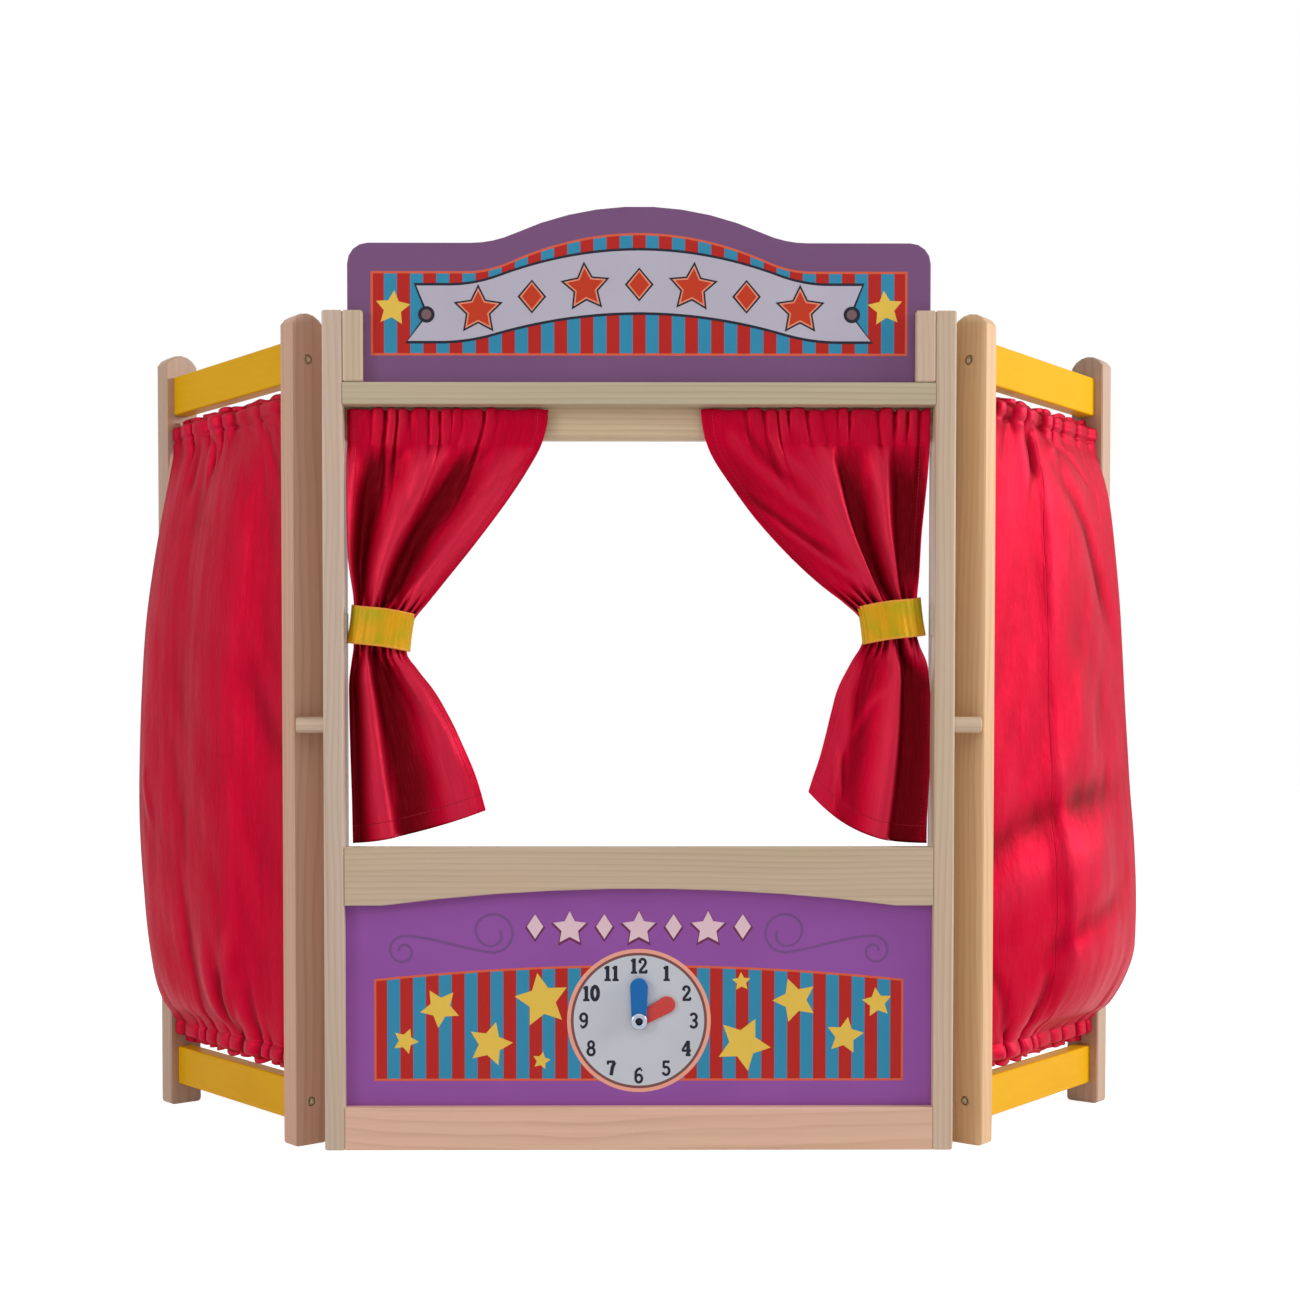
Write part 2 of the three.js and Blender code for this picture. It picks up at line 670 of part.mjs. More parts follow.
function stageCloth(side) {
  const cloth = stageCloths[sideName(side)];
  const ribbonReach = ribbonWidth / 2 + bunchHalf * Math.sin(ribbonTurn);
  const ribbonTop = (cloth.tieDrop - ribbonReach) / stageClothDrop;
  const ribbonFoot = (cloth.tieDrop + ribbonReach) / stageClothDrop;
  const tieInset = halfOpening - ribbonX - bunchHalf;
  const [rowsAbove, rowsInside, rowsBelow] = stageRows;
  const allRows = rowsAbove + rowsInside + rowsBelow;
  const rowPlaces = [[0, 0], [rowsAbove, ribbonTop], [rowsAbove + rowsInside, ribbonFoot], [allRows, 1]];
  const place = (across, rowShare) => {
    const row = rowShare * allRows;
    const stretch = row <= rowsAbove ? 0 : row <= rowsAbove + rowsInside ? 1 : 2;
    const [[fromRow, from], [toRow, to]] = rowPlaces.slice(stretch, stretch + 2);
    const along = (row - fromRow) / (toRow - fromRow);
    const down = THREE.MathUtils.lerp(from, to, along);
    const open = [readShares(cloth.openAbove, along), 0, readShares(cloth.openBelow, along)][stretch];
    const lift = stretch < 2 ? 0
      : cloth.hemLift * across ** cloth.hemAcrossPower * along ** hemDownPowerShare;
    const bunch = (1 - open) ** bunchPowerShare;
    const width = THREE.MathUtils.lerp(2 * bunchHalf, cloth.width, open);
    const inset = THREE.MathUtils.lerp(stageClothSideGap, tieInset,
      THREE.MathUtils.smoothstep(down, 0, ribbonTop));
    const foldDepth = THREE.MathUtils.lerp(
      THREE.MathUtils.lerp(stageHeadingFold, stageOpenFold, readShares(openFoldShares, down)),
      stageTieFold * Math.sqrt(1 - (2 * across - 1) ** 2), bunch);
    const fold = foldDepth * Math.cos(2 * Math.PI * stageFolds * across);
    const z = stageClothTop - stageClothDrop * down + lift;
    return [side * (halfOpening - inset - width * across), stageClothMiddle + fold, z];
  };
  return clothSheet(place, stageColumns, allRows, side > 0);
}

function buildStageCurtains() {
  for (const side of [-1, 1]) {
    const name = sideName(side);
    add(theatre, `${name}_stage_curtain`, stageCloth(side), redSatin);

    const outerEnd = halfOpening - tapeInset;
    const innerEnd = halfOpening - stageCloths[name].width + tapeInset;
    const [start, end] = side < 0 ? [-outerEnd, -innerEnd] : [innerEnd, outerEnd];
    const tapeTop = stageClothTop - tapeInset;
    add(theatre, `${name}_curtain_tape`,
      box([start, tapeFront, tapeTop - tapeHeight], [end, tapeFront + tapeThickness, tapeTop]), hookTape);

    const ribbonZ = stageClothTop - stageCloths[name].tieDrop;
    const ellipse = (inset) => ring(1, ribbonSteps)
      .map((point) => point.multiply(new THREE.Vector2(ribbonHalfSpan - inset, ribbonHalfDepth - inset)));
    const ribbon = extrude(ellipse(0), ribbonWidth, 0, ellipse(ribbonThickness))
      .translate(0, 0, -ribbonWidth / 2);
    const tieback = add(theatre, `${name}_tieback`, ribbon, yellowSatin);
    tieback.position.set(side * ribbonX, stageClothMiddle, ribbonZ);
    tieback.rotation.y = -side * ribbonTurn;

    const patchFace = halfOpening - patchThickness;
    const [patchStart, patchEnd] = side < 0 ? [-halfOpening, -patchFace] : [patchFace, halfOpening];
    add(theatre, `${name}_tieback_patch`, box(
      [patchStart, stageClothMiddle - patchDepth / 2, ribbonZ - patchHeight / 2],
      [patchEnd, stageClothMiddle + patchDepth / 2, ribbonZ + patchHeight / 2]), hookTape);
  }
}

// Wings. Each wing's group has its pin line as its Z axis and +X along the wing. Distances outward
// are measured from the pin line to the wing's outer face, along +Y on the left and -Y on the right.

function stileOutline() {
  const rise = (stileWidth / 2) ** 2 + stileTopDrop ** 2;
  const radius = rise / (2 * stileTopDrop);
  const halfTurn = Math.asin(stileWidth / 2 / radius);
  const foot = stileFootRadius;
  return [
    ...arc(foot - stileWidth / 2, foot, foot, Math.PI, 1.5 * Math.PI, cornerSteps),
    ...arc(stileWidth / 2 - foot, foot, foot, -0.5 * Math.PI, 0, cornerSteps),
    ...arc(0, stileHeight - radius, radius, Math.PI / 2 - halfTurn, Math.PI / 2 + halfTurn, stileTopSteps),
  ];
}

function wingCloth(outward) {
  const headingRest = stileMiddle + rodRadius + wingClothRodGap + wingHeadingFold + clothThickness / 2;
  const near = bayStart + wingClothStileGap;
  const far = bayEnd - wingClothStileGap;
  const top = wingTopRailUnder - wingClothRailGap;
  const bottom = wingBottomRailTop + wingClothFootGap;
  const place = (across, down) => {
    const belly = Math.max(0, Math.sin(Math.PI * down ** bellySkewPowerShare)) ** bellyFullPowerShare;
    const swell = wingBellyNear * (1 - across) + wingBellyFar * across
      + wingBellyMiddle * Math.sin(Math.PI * across);
    const foldDepth = THREE.MathUtils.lerp(wingHeadingFold, wingBellyFold, belly);
    const distance = headingRest + belly * swell + foldDepth * Math.cos(2 * Math.PI * wingFolds * across);
    const along = near + across * (far - near + wingBellySpread * belly ** bellySpreadPowerShare);
    return [along, outward * distance, top + (bottom - top) * down];
  };
  return clothSheet(place, wingColumns, wingRows, false);
}

function buildWing(side) {
  const name = sideName(side);
  const outward = -side;
  const wing = new THREE.Group();
  wing.position.set(side * pinX, pinY, 0);
  wing.rotation.z = side > 0 ? wingTurn : Math.PI - wingTurn;
  theatre.add(wing);

  const railLevels = {
    top: [wingTopRailUnder, wingTopRailTop, wingTopRailUnder - rodDrop],
    bottom: [wingBottomRailLift, wingBottomRailTop, wingBottomRailTop + rodDrop],
  };
  const railFar = bayEnd - fit;
  const railNear = bayStart + fit;
  const middle = outward * stileMiddle;

  const boltLength = stileThickness + boltGrip - boltSink;
  const bolt = (spare) => {
    const neck = boltLength - boltHeadDepth - spare;
    const end = boltLength + (spare > 0 ? cutOverrun : 0);
    return turned([
      [0, -spare], [boltShankRadius + spare, -spare], [boltShankRadius + spare, neck],
      [boltHeadRadius + spare, neck], [boltHeadRadius + spare, end], [0, end],
    ]);
  };
  // A bolt's tip lies in the rail and its head in the face that it enters
  const boltAt = (end, height, spare) => (end === 'front'
    ? bolt(spare).rotateY(-Math.PI / 2).translate(wingStart + boltSink + boltLength, middle, height)
    : bolt(spare).rotateY(Math.PI / 2).translate(wingEnd - boltSink - boltLength, middle, height));
  const socketAt = (start, height) => rod(rodRadius + fit, bayEnd - bayStart + 2 * rodSocket)
    .applyMatrix4(alongX).translate(start, middle, height);

  for (const [end, start] of Object.entries({ front: wingStart, back: bayEnd })) {
    const bar = crosswise(stileOutline(), start, start + stileThickness, endChamfer)
      .translate(0, middle, 0);
    const cutters = Object.values(railLevels).flatMap(([low, high, rodHeight]) => [
      boltAt(end, (low + high) / 2, fit), socketAt(bayStart - rodSocket, rodHeight)]);
    add(wing, `${name}_wing_${end}_stile`, cut(bar, ...cutters), pine);
  }

  for (const [level, [low, high, rodHeight]] of Object.entries(railLevels)) {
    const boltHeight = (low + high) / 2;
    const bar = rail([railNear, middle - wingRailThickness / 2, low],
      [railFar, middle + wingRailThickness / 2, high]);
    add(wing, `${name}_wing_${level}_rail`,
      cut(bar, boltAt('front', boltHeight, fit), boltAt('back', boltHeight, fit)), yellowPaint);
    for (const end of ['front', 'back']) {
      add(wing, `${name}_wing_${level}_${end}_bolt`, boltAt(end, boltHeight, 0), steel);
    }
    const rodLength = bayEnd - bayStart + 2 * (rodSocket - fit);
    add(wing, `${name}_wing_${level}_rod`, rod(rodRadius, rodLength).applyMatrix4(alongX)
      .translate(bayStart - rodSocket + fit, middle, rodHeight), pine);
  }

  add(wing, `${name}_wing_curtain`, wingCloth(outward), redSatin);

  for (const [level, height] of Object.entries(hingeHeights)) {
    const leaf = add(wing, `${name}_${level}_hinge_wing_leaf`, hingeLeaf([middleZone], endZones), steel);
    leaf.position.set(0, 0, height);
    leaf.rotation.x = outward > 0 ? 0 : Math.PI;
  }
}

buildPosts();
buildRails();
buildCleats();
buildBoards();
buildClock();
buildStopPegs();
buildFrameHinges();
buildStageCurtains();
buildWing(-1);
buildWing(1);

// The origin is on the ground, midway between the front and the back of the whole object
const bounds = new THREE.Box3().setFromObject(theatre, true);
theatre.position.y = -(bounds.min.y + bounds.max.y) / 2;

export default theatre;
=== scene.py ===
"""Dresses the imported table-top puppet theatre: wood, paint, printed boards, satin curtains and
fittings, with a camera and soft lights. Lengths are metres, apart from names that end in _mm and
the surfaces, prints and profiles that say mm. The front faces -Y, +Z is up, and left and right
are as seen from the front."""

import json
import math

import bpy
import numpy as np
from bpy.props import FloatProperty, FloatVectorProperty, IntProperty, PointerProperty
from mathutils import Euler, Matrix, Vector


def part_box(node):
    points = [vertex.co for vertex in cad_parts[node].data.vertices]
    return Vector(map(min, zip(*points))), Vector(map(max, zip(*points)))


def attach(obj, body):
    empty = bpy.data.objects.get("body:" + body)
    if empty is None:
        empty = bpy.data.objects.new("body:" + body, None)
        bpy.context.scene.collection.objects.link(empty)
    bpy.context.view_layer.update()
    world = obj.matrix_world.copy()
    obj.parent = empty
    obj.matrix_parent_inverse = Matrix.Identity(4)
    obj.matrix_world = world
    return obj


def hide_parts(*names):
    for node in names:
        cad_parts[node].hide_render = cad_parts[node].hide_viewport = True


bl_info = {
    "name": "Table-top puppet theatre",
    "version": (1, 0, 0),
    "blender": (4, 5, 0),
    "location": "3D View > Sidebar > Puppet theatre",
    "description": "Finishes the theatre's wood, paint and print and makes its curtains and fittings",
    "category": "Object",
}

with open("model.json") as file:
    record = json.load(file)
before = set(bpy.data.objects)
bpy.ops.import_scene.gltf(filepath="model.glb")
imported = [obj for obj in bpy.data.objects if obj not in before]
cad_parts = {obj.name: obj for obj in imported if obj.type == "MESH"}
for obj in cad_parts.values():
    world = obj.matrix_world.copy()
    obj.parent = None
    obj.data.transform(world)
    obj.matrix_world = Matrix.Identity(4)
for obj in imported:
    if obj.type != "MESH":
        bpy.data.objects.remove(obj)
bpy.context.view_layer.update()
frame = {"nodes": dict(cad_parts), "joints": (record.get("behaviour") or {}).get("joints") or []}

MM = 0.001
SIDES = (("left", -1), ("right", 1))
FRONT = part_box("left_post")[0].y
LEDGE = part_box("stage_rail")[1].z
RIBBON_WIDTH_MM = 31
# Stance of the wings from the plane of the centre frame, and the points that they turn about
WING_ANGLE = math.radians(50)
PIN = {
    name: next(joint["pos_m"] for joint in frame["joints"] if joint["name"] == f"{name}_wing_hinge")
    for name, _ in SIDES
}


def srgb(red, green, blue):
    """Linear colour of a paint that reads as these 0 to 255 screen values."""
    shares = [value / 255 for value in (red, green, blue)]
    return tuple(s / 12.92 if s <= 0.04045 else ((s + 0.055) / 1.055) ** 2.4 for s in shares)


def deeper(hue, left):
    """A darker tone of a colour, with that share of its light left."""
    return tuple(value * left for value in hue)


def stretched(across, along_scale, along):
    """Scale of a noise that is drawn out along one axis."""
    scale = [across] * 3
    scale[along] = along_scale
    return tuple(scale)


def length(name, description, default):
    """A length that a user can set."""
    return FloatProperty(name=name, description=description, default=default, min=0, unit="LENGTH",
                         subtype="DISTANCE", precision=4)


def share(name, description, default):
    """A share or strength that a user can set."""
    return FloatProperty(name=name, description=description, default=default, min=0, subtype="FACTOR")


def colour(name, description, default):
    """A colour that a user can set."""
    return FloatVectorProperty(name=name, description=description, default=default, size=3, min=0,
                               max=1, subtype="COLOR")


# Sizes and colours that a user would change


class TheatreColours(bpy.types.PropertyGroup):
    """Colours of the wood, paint, cloth and print"""

    early_wood: colour("Early wood", "Pale part of the pine's rings", srgb(212, 187, 164))
    late_wood: colour("Late wood", "Dark line of the pine's rings", srgb(158, 118, 88))
    yellow: colour("Yellow", "Paint of the wings' rails", srgb(232, 174, 0))
    header_purple: colour("Header purple", "Paint of the header board", srgb(124, 83, 126))
    lower_purple: colour("Lower purple", "Paint of the lower board", srgb(151, 84, 168))
    minute_blue: colour("Minute hand", "Paint of the minute hand", srgb(36, 112, 184))
    hour_red: colour("Hour hand", "Paint of the hour hand", srgb(214, 78, 72))
    stripe_red: colour("Red stripes", "Print of the striped panels", srgb(190, 34, 26))
    stripe_blue: colour("Blue stripes", "Print of the striped panels", srgb(50, 144, 182))
    outline: colour("Outline", "Line round the striped panels", srgb(226, 98, 66))
    star: colour("Stars", "Yellow stars on the stripes", srgb(242, 202, 82))
    satin: colour("Curtain satin", "Cloth of the four curtains", srgb(187, 0, 42))
    ribbon: colour("Tie-back satin", "Ribbon of the tie-backs", srgb(210, 172, 8))
    selvedge: colour("Tie-back edge", "Woven edges of the tie-backs", srgb(232, 150, 60))
    banner: colour("Banner", "Printed ribbon on the header board", srgb(196, 190, 206))
    ink: colour("Ink", "Dark outlines and the clock's numbers", srgb(16, 18, 36))
    dial: colour("Dial", "Face of the play clock", srgb(208, 212, 220))
    dial_ring: colour("Dial ring", "Ring round the play clock", srgb(248, 172, 150))


class TheatreSizes(bpy.types.PropertyGroup):
    """Sizes of the cloth, print, wood grain and screws"""

    cloth_thickness: length("Cloth", "Thickness of the satin", 0.0004)
    left_stage_cloth: length("Left stage curtain cut", "Flat width of the left stage curtain", 0.166)
    right_stage_cloth: length("Right stage curtain cut", "Flat width of the right stage curtain", 0.186)
    wing_cloth_flat: length("Wing curtain cut", "Flat width of one wing curtain", 0.238)
    ribbon_thickness: length("Ribbon", "Thickness of the tie-backs", 0.0006)
    stripe_count: IntProperty(name="Stripes", description="Stripes on a board, red at both ends",
                              default=41, min=3)
    print_thickness: length("Print", "Thickness of the printed shapes", 0.00012)
    ring_pitch: length("Growth rings", "Width of one growth ring of the pine", 0.0046)
    screw_radius: length("Hinge screws", "Radius of a hinge screw's head", 0.0018)


class TheatreStage(bpy.types.PropertyGroup):
    """Camera lens and the light"""

    lens: FloatProperty(name="Lens", description="Focal length", default=0.05, unit="CAMERA")
    key: FloatProperty(name="Key lamp", description="Power of the lamp at the right", default=59,
                       min=0, unit="POWER")
    fill: FloatProperty(name="Fill lamp", description="Power of the lamp at the left", default=19.6,
                        min=0, unit="POWER")
    top: FloatProperty(name="Top lamp", description="Power of the lamp above", default=10.4,
                       min=0, unit="POWER")
    daylight: share("Daylight", "Strength of the even light from all round", 0.245)


# Materials: values and colours as Python expressions


class Signal:
    """A socket of a material. Arithmetic between signals or numbers adds Math nodes."""

    def __init__(self, finish, socket):
        self.finish = finish
        self.socket = socket

    def math(self, operation, *values):
        return self.finish.math(operation, self, *values)

    def __add__(self, other):
        return self.math("ADD", other)

    def __sub__(self, other):
        return self.math("SUBTRACT", other)

    def __rsub__(self, other):
        return self.finish.math("SUBTRACT", other, self)

    def __mul__(self, other):
        return self.math("MULTIPLY", other)

    def __truediv__(self, other):
        return self.math("DIVIDE", other)

    def __rtruediv__(self, other):
        return self.finish.math("DIVIDE", other, self)

    def __pow__(self, other):
        return self.math("POWER", other)

    def __abs__(self):
        return self.math("ABSOLUTE")

    __radd__ = __add__
    __rmul__ = __mul__

    def most(self, other):
        return self.math("MAXIMUM", other)

    def least(self, other):
        return self.math("MINIMUM", other)

    def clamped(self):
        return self.most(0).least(1)

    def inside(self, softness):
        """1 where a signed distance is negative and 0 where it is positive, with a soft edge."""
        return (0.5 - self / softness).clamped()

    def wave(self):
        return self.math("SINE")

    def fraction(self):
        return self.math("FRACT")


class Finish:
    """A material with one Principled shader, built from node() calls and signals."""

    def __init__(self, name, **constants):
        self.material = bpy.data.materials.new(name)
        self.material.use_nodes = True
        self.tree = self.material.node_tree
        self.tree.nodes.clear()
        self.shader = self.tree.nodes.new("ShaderNodeBsdfPrincipled")
        output = self.tree.nodes.new("ShaderNodeOutputMaterial")
        self.tree.links.new(self.shader.outputs[0], output.inputs["Surface"])
        for socket, value in constants.items():
            self.shader.inputs[socket.replace("_", " ")].default_value = value

    def node(self, kind, settings=None, inputs=(), output=0):
        """Adds a node. settings are its properties, inputs the values or links of its sockets."""
        made = self.tree.nodes.new(kind)
        for name, value in (settings or {}).items():
            setattr(made, name, value)
        for key, value in (inputs.items() if isinstance(inputs, dict) else enumerate(inputs)):
            if isinstance(value, Signal):
                self.tree.links.new(value.socket, made.inputs[key])
            else:
                made.inputs[key].default_value = value
        return Signal(self, made.outputs[output])

    def math(self, operation, *values):
        return self.node("ShaderNodeMath", {"operation": operation}, values)

    def mix(self, factor, first, second):
        """first where the factor is 0 and second where it is 1, both colours."""
        picks = {0: factor, 6: self.full(first), 7: self.full(second)}
        return self.node("ShaderNodeMix", {"data_type": "RGBA"}, picks, output=2)

    @staticmethod
    def full(value):
        """A colour with its alpha, or a signal as it is."""
        return value if isinstance(value, Signal) else (*tuple(value)[:3], 1)

    def place(self, kind="Object"):
        return self.node("ShaderNodeTexCoord", output=kind)

    def split(self, vector):
        node = self.tree.nodes.new("ShaderNodeSeparateXYZ")
        self.tree.links.new(vector.socket, node.inputs[0])
        return [Signal(self, socket) for socket in node.outputs]

    def mapped(self, vector, scale, shift=(0, 0, 0)):
        inputs = {"Vector": vector, "Scale": scale, "Location": shift}
        return self.node("ShaderNodeMapping", None, inputs)

    def noise(self, vector, scale, detail=2, roughness=0.5):
        inputs = {"Vector": vector, "Scale": scale, "Detail": detail, "Roughness": roughness}
        return self.node("ShaderNodeTexNoise", None, inputs)

    def feed(self, **links):
        """Links signals to the shader's sockets."""
        for socket, value in links.items():
            self.tree.links.new(value.socket, self.shader.inputs[socket.replace("_", " ")])

    def raise_by(self, height, distance, strength=1):
        """Bump from a height signal; distance is how high 1 stands, in metres."""
        inputs = {"Strength": strength, "Distance": distance, "Height": height}
        self.feed(Normal=self.node("ShaderNodeBump", None, inputs))


def pine(name, along, seed, tone=(1, 1, 1)):
    """Pine sawn beside the log's heart: rings round a far axis that wanders along the piece, with
    pale early wood that darkens to a late-wood line, fine fibres along the grain and a satin
    lacquer. along is the axis of the grain, 0 for X and 2 for Z."""
    colours = bpy.context.scene.theatre_colours
    pitch = bpy.context.scene.theatre_sizes.ring_pitch
    random = np.random.default_rng(seed)
    finish = Finish(name, Coat_Weight=0.12, Coat_Roughness=0.3)
    place = finish.place()
    shift = tuple(random.uniform(-3, 3, 3))
    slow = stretched(9.0, 2.2, along)
    wander = finish.noise(finish.mapped(place, slow, shift), 1, 3) - 0.5
    axes = [axis for axis in (0, 1, 2) if axis != along]
    spots = finish.split(place)
    nearest_heart, farthest_heart = 0.045, 0.09
    heart = random.uniform(nearest_heart, farthest_heart, 2) * random.choice([-1, 1], 2)
    wander_across, wander_through = 0.034, 0.019
    across = spots[axes[0]] + float(heart[0]) + wander * wander_across
    through = spots[axes[1]] - FRONT * (axes[1] == 1) + float(heart[1]) + wander * wander_through
    radius = (across * across + through * through) ** 0.5
    ring = (radius / pitch).fraction()
    line_end = 0.88
    late = ring ** 3 * (1 - ((ring - line_end) * 8).clamped())
    fibre = finish.noise(finish.mapped(place, stretched(1400.0, 16.0, along), shift), 1, 3, 0.6)
    streak = finish.noise(finish.mapped(place, stretched(160.0, 3.0, along), shift), 1, 2)
    blotch = finish.noise(finish.mapped(place, slow, shift[::-1]), 1.7, 2)
    # tone tints the whole piece: the wood's own tone, and for the wings' stiles also painted shade
    early = tuple(np.array(colours.early_wood) * tone)
    dark = tuple(np.array(colours.late_wood) * tone)
    grain = finish.mix((late * 0.36 + (streak - 0.42) * 0.5).clamped(), early, dark)
    green = tuple(np.array(early) * (0.88, 0.93, 0.7))
    rosy = tuple(np.array(early) * (1.08, 0.94, 0.9))
    warm = finish.mix(((0.48 - blotch) * 2.6).clamped() * 0.8, grain, rosy)
    tinted = finish.mix(((blotch - 0.5) * 2.6).clamped() * 0.8, warm, green)
    worn = finish.mix((fibre - 0.5).most(0) * 0.45, tinted, dark)
    finish.feed(Base_Color=worn, Roughness=0.42 + fibre * 0.16)
    finish.raise_by(fibre * 0.6 - late * 0.5, 0.00008, 0.6)
    return finish.material


def satin_paint(name, hue, seed, darker=0.82, roughness=0.38):
    """Satin paint on wood: a faint brushed tone, orange-peel bump and scuffed gloss."""
    finish = Finish(name, Specular_IOR_Level=0.1)
    place = finish.place()
    brushed = finish.noise(finish.mapped(place, (30, 30, 260), (seed, 0, 0)), 1, 3)
    cloud = finish.noise(finish.mapped(place, (9, 9, 9), (0, seed, 0)), 1, 3)
    peel = finish.noise(place, 900, 2)
    tone = (brushed - 0.42) * 0.9 + (cloud - 0.5) * 1.1
    finish.feed(Base_Color=finish.mix(tone.clamped(), hue, deeper(hue, darker)),
                Roughness=roughness + cloud * 0.12)
    finish.raise_by(peel * 0.7 + brushed * 0.3, 0.00006, 0.5)
    return finish.material


def printed_ink(name, hue, seed):
    """Printed ink: nearly flat colour with a slight fleck and a soft gloss."""
    finish = Finish(name, Specular_IOR_Level=0.25)
    place = finish.place()
    fleck = finish.noise(place, 1500, 2)
    cloud = finish.noise(finish.mapped(place, (14, 14, 14), (seed, 0, 0)), 1, 2)
    tone = (cloud - 0.4) * 0.9 + (fleck - 0.5) * 0.5
    finish.feed(Base_Color=finish.mix(tone.clamped(), hue, deeper(hue, 0.84)), Roughness=0.4 + fleck * 0.1)
    finish.raise_by(fleck, 0.00003, 0.4)
    return finish.material


def metal(name, hue, roughness):
    """Plated metal with fine upright brush marks and faint cloudy wear."""
    finish = Finish(name, Metallic=1.0)
    place = finish.place()
    marks = finish.noise(finish.mapped(place, stretched(2600.0, 90.0, 2)), 1, 2)
    cloud = finish.noise(place, 160, 3)
    finish.feed(Base_Color=finish.mix(((cloud - 0.45) * 1.6).clamped(), hue, deeper(hue, 0.7)),
                Roughness=roughness + marks * 0.15 + cloud * 0.1)
    finish.raise_by(marks, 0.00002, 0.5)
    return finish.material


def tube_rivet(axis):
    """Nickel on a tubular rivet, with painted shade inside its bore. axis is a point of the rivet's axis.
    """
    finish = Finish("rivet_nickel")
    place = finish.place()
    x, _, z = finish.split(place)
    off = x - axis[0]
    up = z - axis[2]
    bore_radius = 0.0031
    bore = ((off * off + up * up) ** 0.5 - bore_radius).inside(0.0004)
    marks = finish.noise(finish.mapped(place, (900, 900, 900)), 1, 2)
    # Painted shade: the inside of the bore is painted near black, as shade falls in the hole
    finish.feed(Base_Color=finish.mix(bore, srgb(158, 166, 180), srgb(16, 20, 44)),
                Metallic=1 - bore * 0.8, Roughness=0.26 + marks * 0.1 + bore * 0.2)
    finish.raise_by(marks, 0.00002, 0.3)
    return finish.material


def hook_tape():
    """Hook-and-loop tape: a fuzzy pile of fine loops on a woven ground."""
    finish = Finish("hook_and_loop", Sheen_Weight=0.4)
    place = finish.place()
    loops = finish.node("ShaderNodeTexVoronoi", None, {"Vector": place, "Scale": 1300})
    fuzz = finish.noise(place, 2500, 2)
    finish.feed(Base_Color=finish.mix((loops * 1.4).clamped(), srgb(232, 228, 218), srgb(196, 190, 178)),
                Roughness=0.85 + fuzz * 0.1)
    finish.raise_by(loops + fuzz, 0.0003, 0.8)
    return finish.material


def satin(name, hue, seams, flat, drop):
    """Polyester satin on the cloth's own UV map, in metres: long floats down the warp, fine weft
    ribs, slubs, a stitched hem round the edges and faint pressed creases. Its valleys get painted
    shade and its ridges a painted highlight, by the cloth's fold_shade. seams are sewn joins: how
    far across each starts at the top, and where it settles further down."""
    side_hem, foot_hem, seam_settles = 0.008, 0.014, 0.15
    weft_pitch, warp_pitch, stitch_pitch = 0.0006, 0.00045, 0.0032
    half_line = 0.0004
    finish = Finish(name, Metallic=0.4, Specular_IOR_Level=0.04)
    place = finish.place("UV")
    across, down, _ = finish.split(place)
    warp = finish.noise(finish.mapped(place, (2600, 70, 1)), 1, 2)
    slub = finish.noise(finish.mapped(place, (420, 14, 1)), 1, 3)
    cloud = finish.noise(finish.mapped(place, (26, 13, 1)), 1, 3)
    rib = (down * (2 * math.pi / weft_pitch)).wave()
    thread = (across * (2 * math.pi / warp_pitch)).wave()
    crush = finish.noise(finish.mapped(place, (75, 38, 1), (3, 7, 0)), 1, 3, 0.55)
    side = across.least(flat - across) - side_hem
    foot = (drop - down) - foot_hem
    hem = abs(side).least(abs(foot))
    stitched = (hem - half_line).inside(0.0004)
    dash = abs(((across + down) / stitch_pitch).fraction() - 0.5) - 0.32
    stitch = stitched * (dash * stitch_pitch).inside(0.0003)
    sewn = stitched
    for top, settled in seams:
        middle = (down / seam_settles).clamped() * (settled - top) + top
        sewn = sewn.most((abs(across - middle) - half_line).inside(0.0006))
    # Painted shade and highlight: the cloth's fold_shade darkens its valleys towards deep and brightens its
    # ridges towards bright
    shade = finish.node("ShaderNodeAttribute", {"attribute_name": "fold_shade"}, output="Fac")
    # deep is the painted shade's colour in the valleys and also the darker tone of the random slubs, clouds
    # and seams; bright is the painted highlight's colour on the ridges and also the lighter tone of the
    # warp streaks and stitches
    deep = (hue[0] * 0.26, 0, hue[2] * 0.1)
    bright = (min(1, hue[0] * 1.2), hue[1] + 0.028, min(1, hue[2] * 1.7 + 0.026))
    painted_ridge_highlight = finish.mix(((0.5 - shade) * 2).clamped() * 0.6, hue, bright)
    painted_valley_shade = finish.mix(((shade - 0.5) * 1.9).clamped(), painted_ridge_highlight, deep)
    body = finish.mix(((slub - 0.42) * 0.5 + (cloud - 0.5) * 0.5).clamped(), painted_valley_shade, deep)
    woven = finish.mix(((warp - 0.5) * 0.9).clamped(), body, bright)
    creased = finish.mix(sewn * 0.55, woven, deep)
    finish.feed(Base_Color=finish.mix(stitch * 0.4, creased, bright),
                Roughness=0.34 + slub * 0.1 + cloud * 0.06)
    height = crush * 0.9 + warp * 0.05 + rib * 0.012 + thread * 0.012 - sewn * 0.22
    finish.raise_by(height, 0.0011, 0.75)
    return finish.material


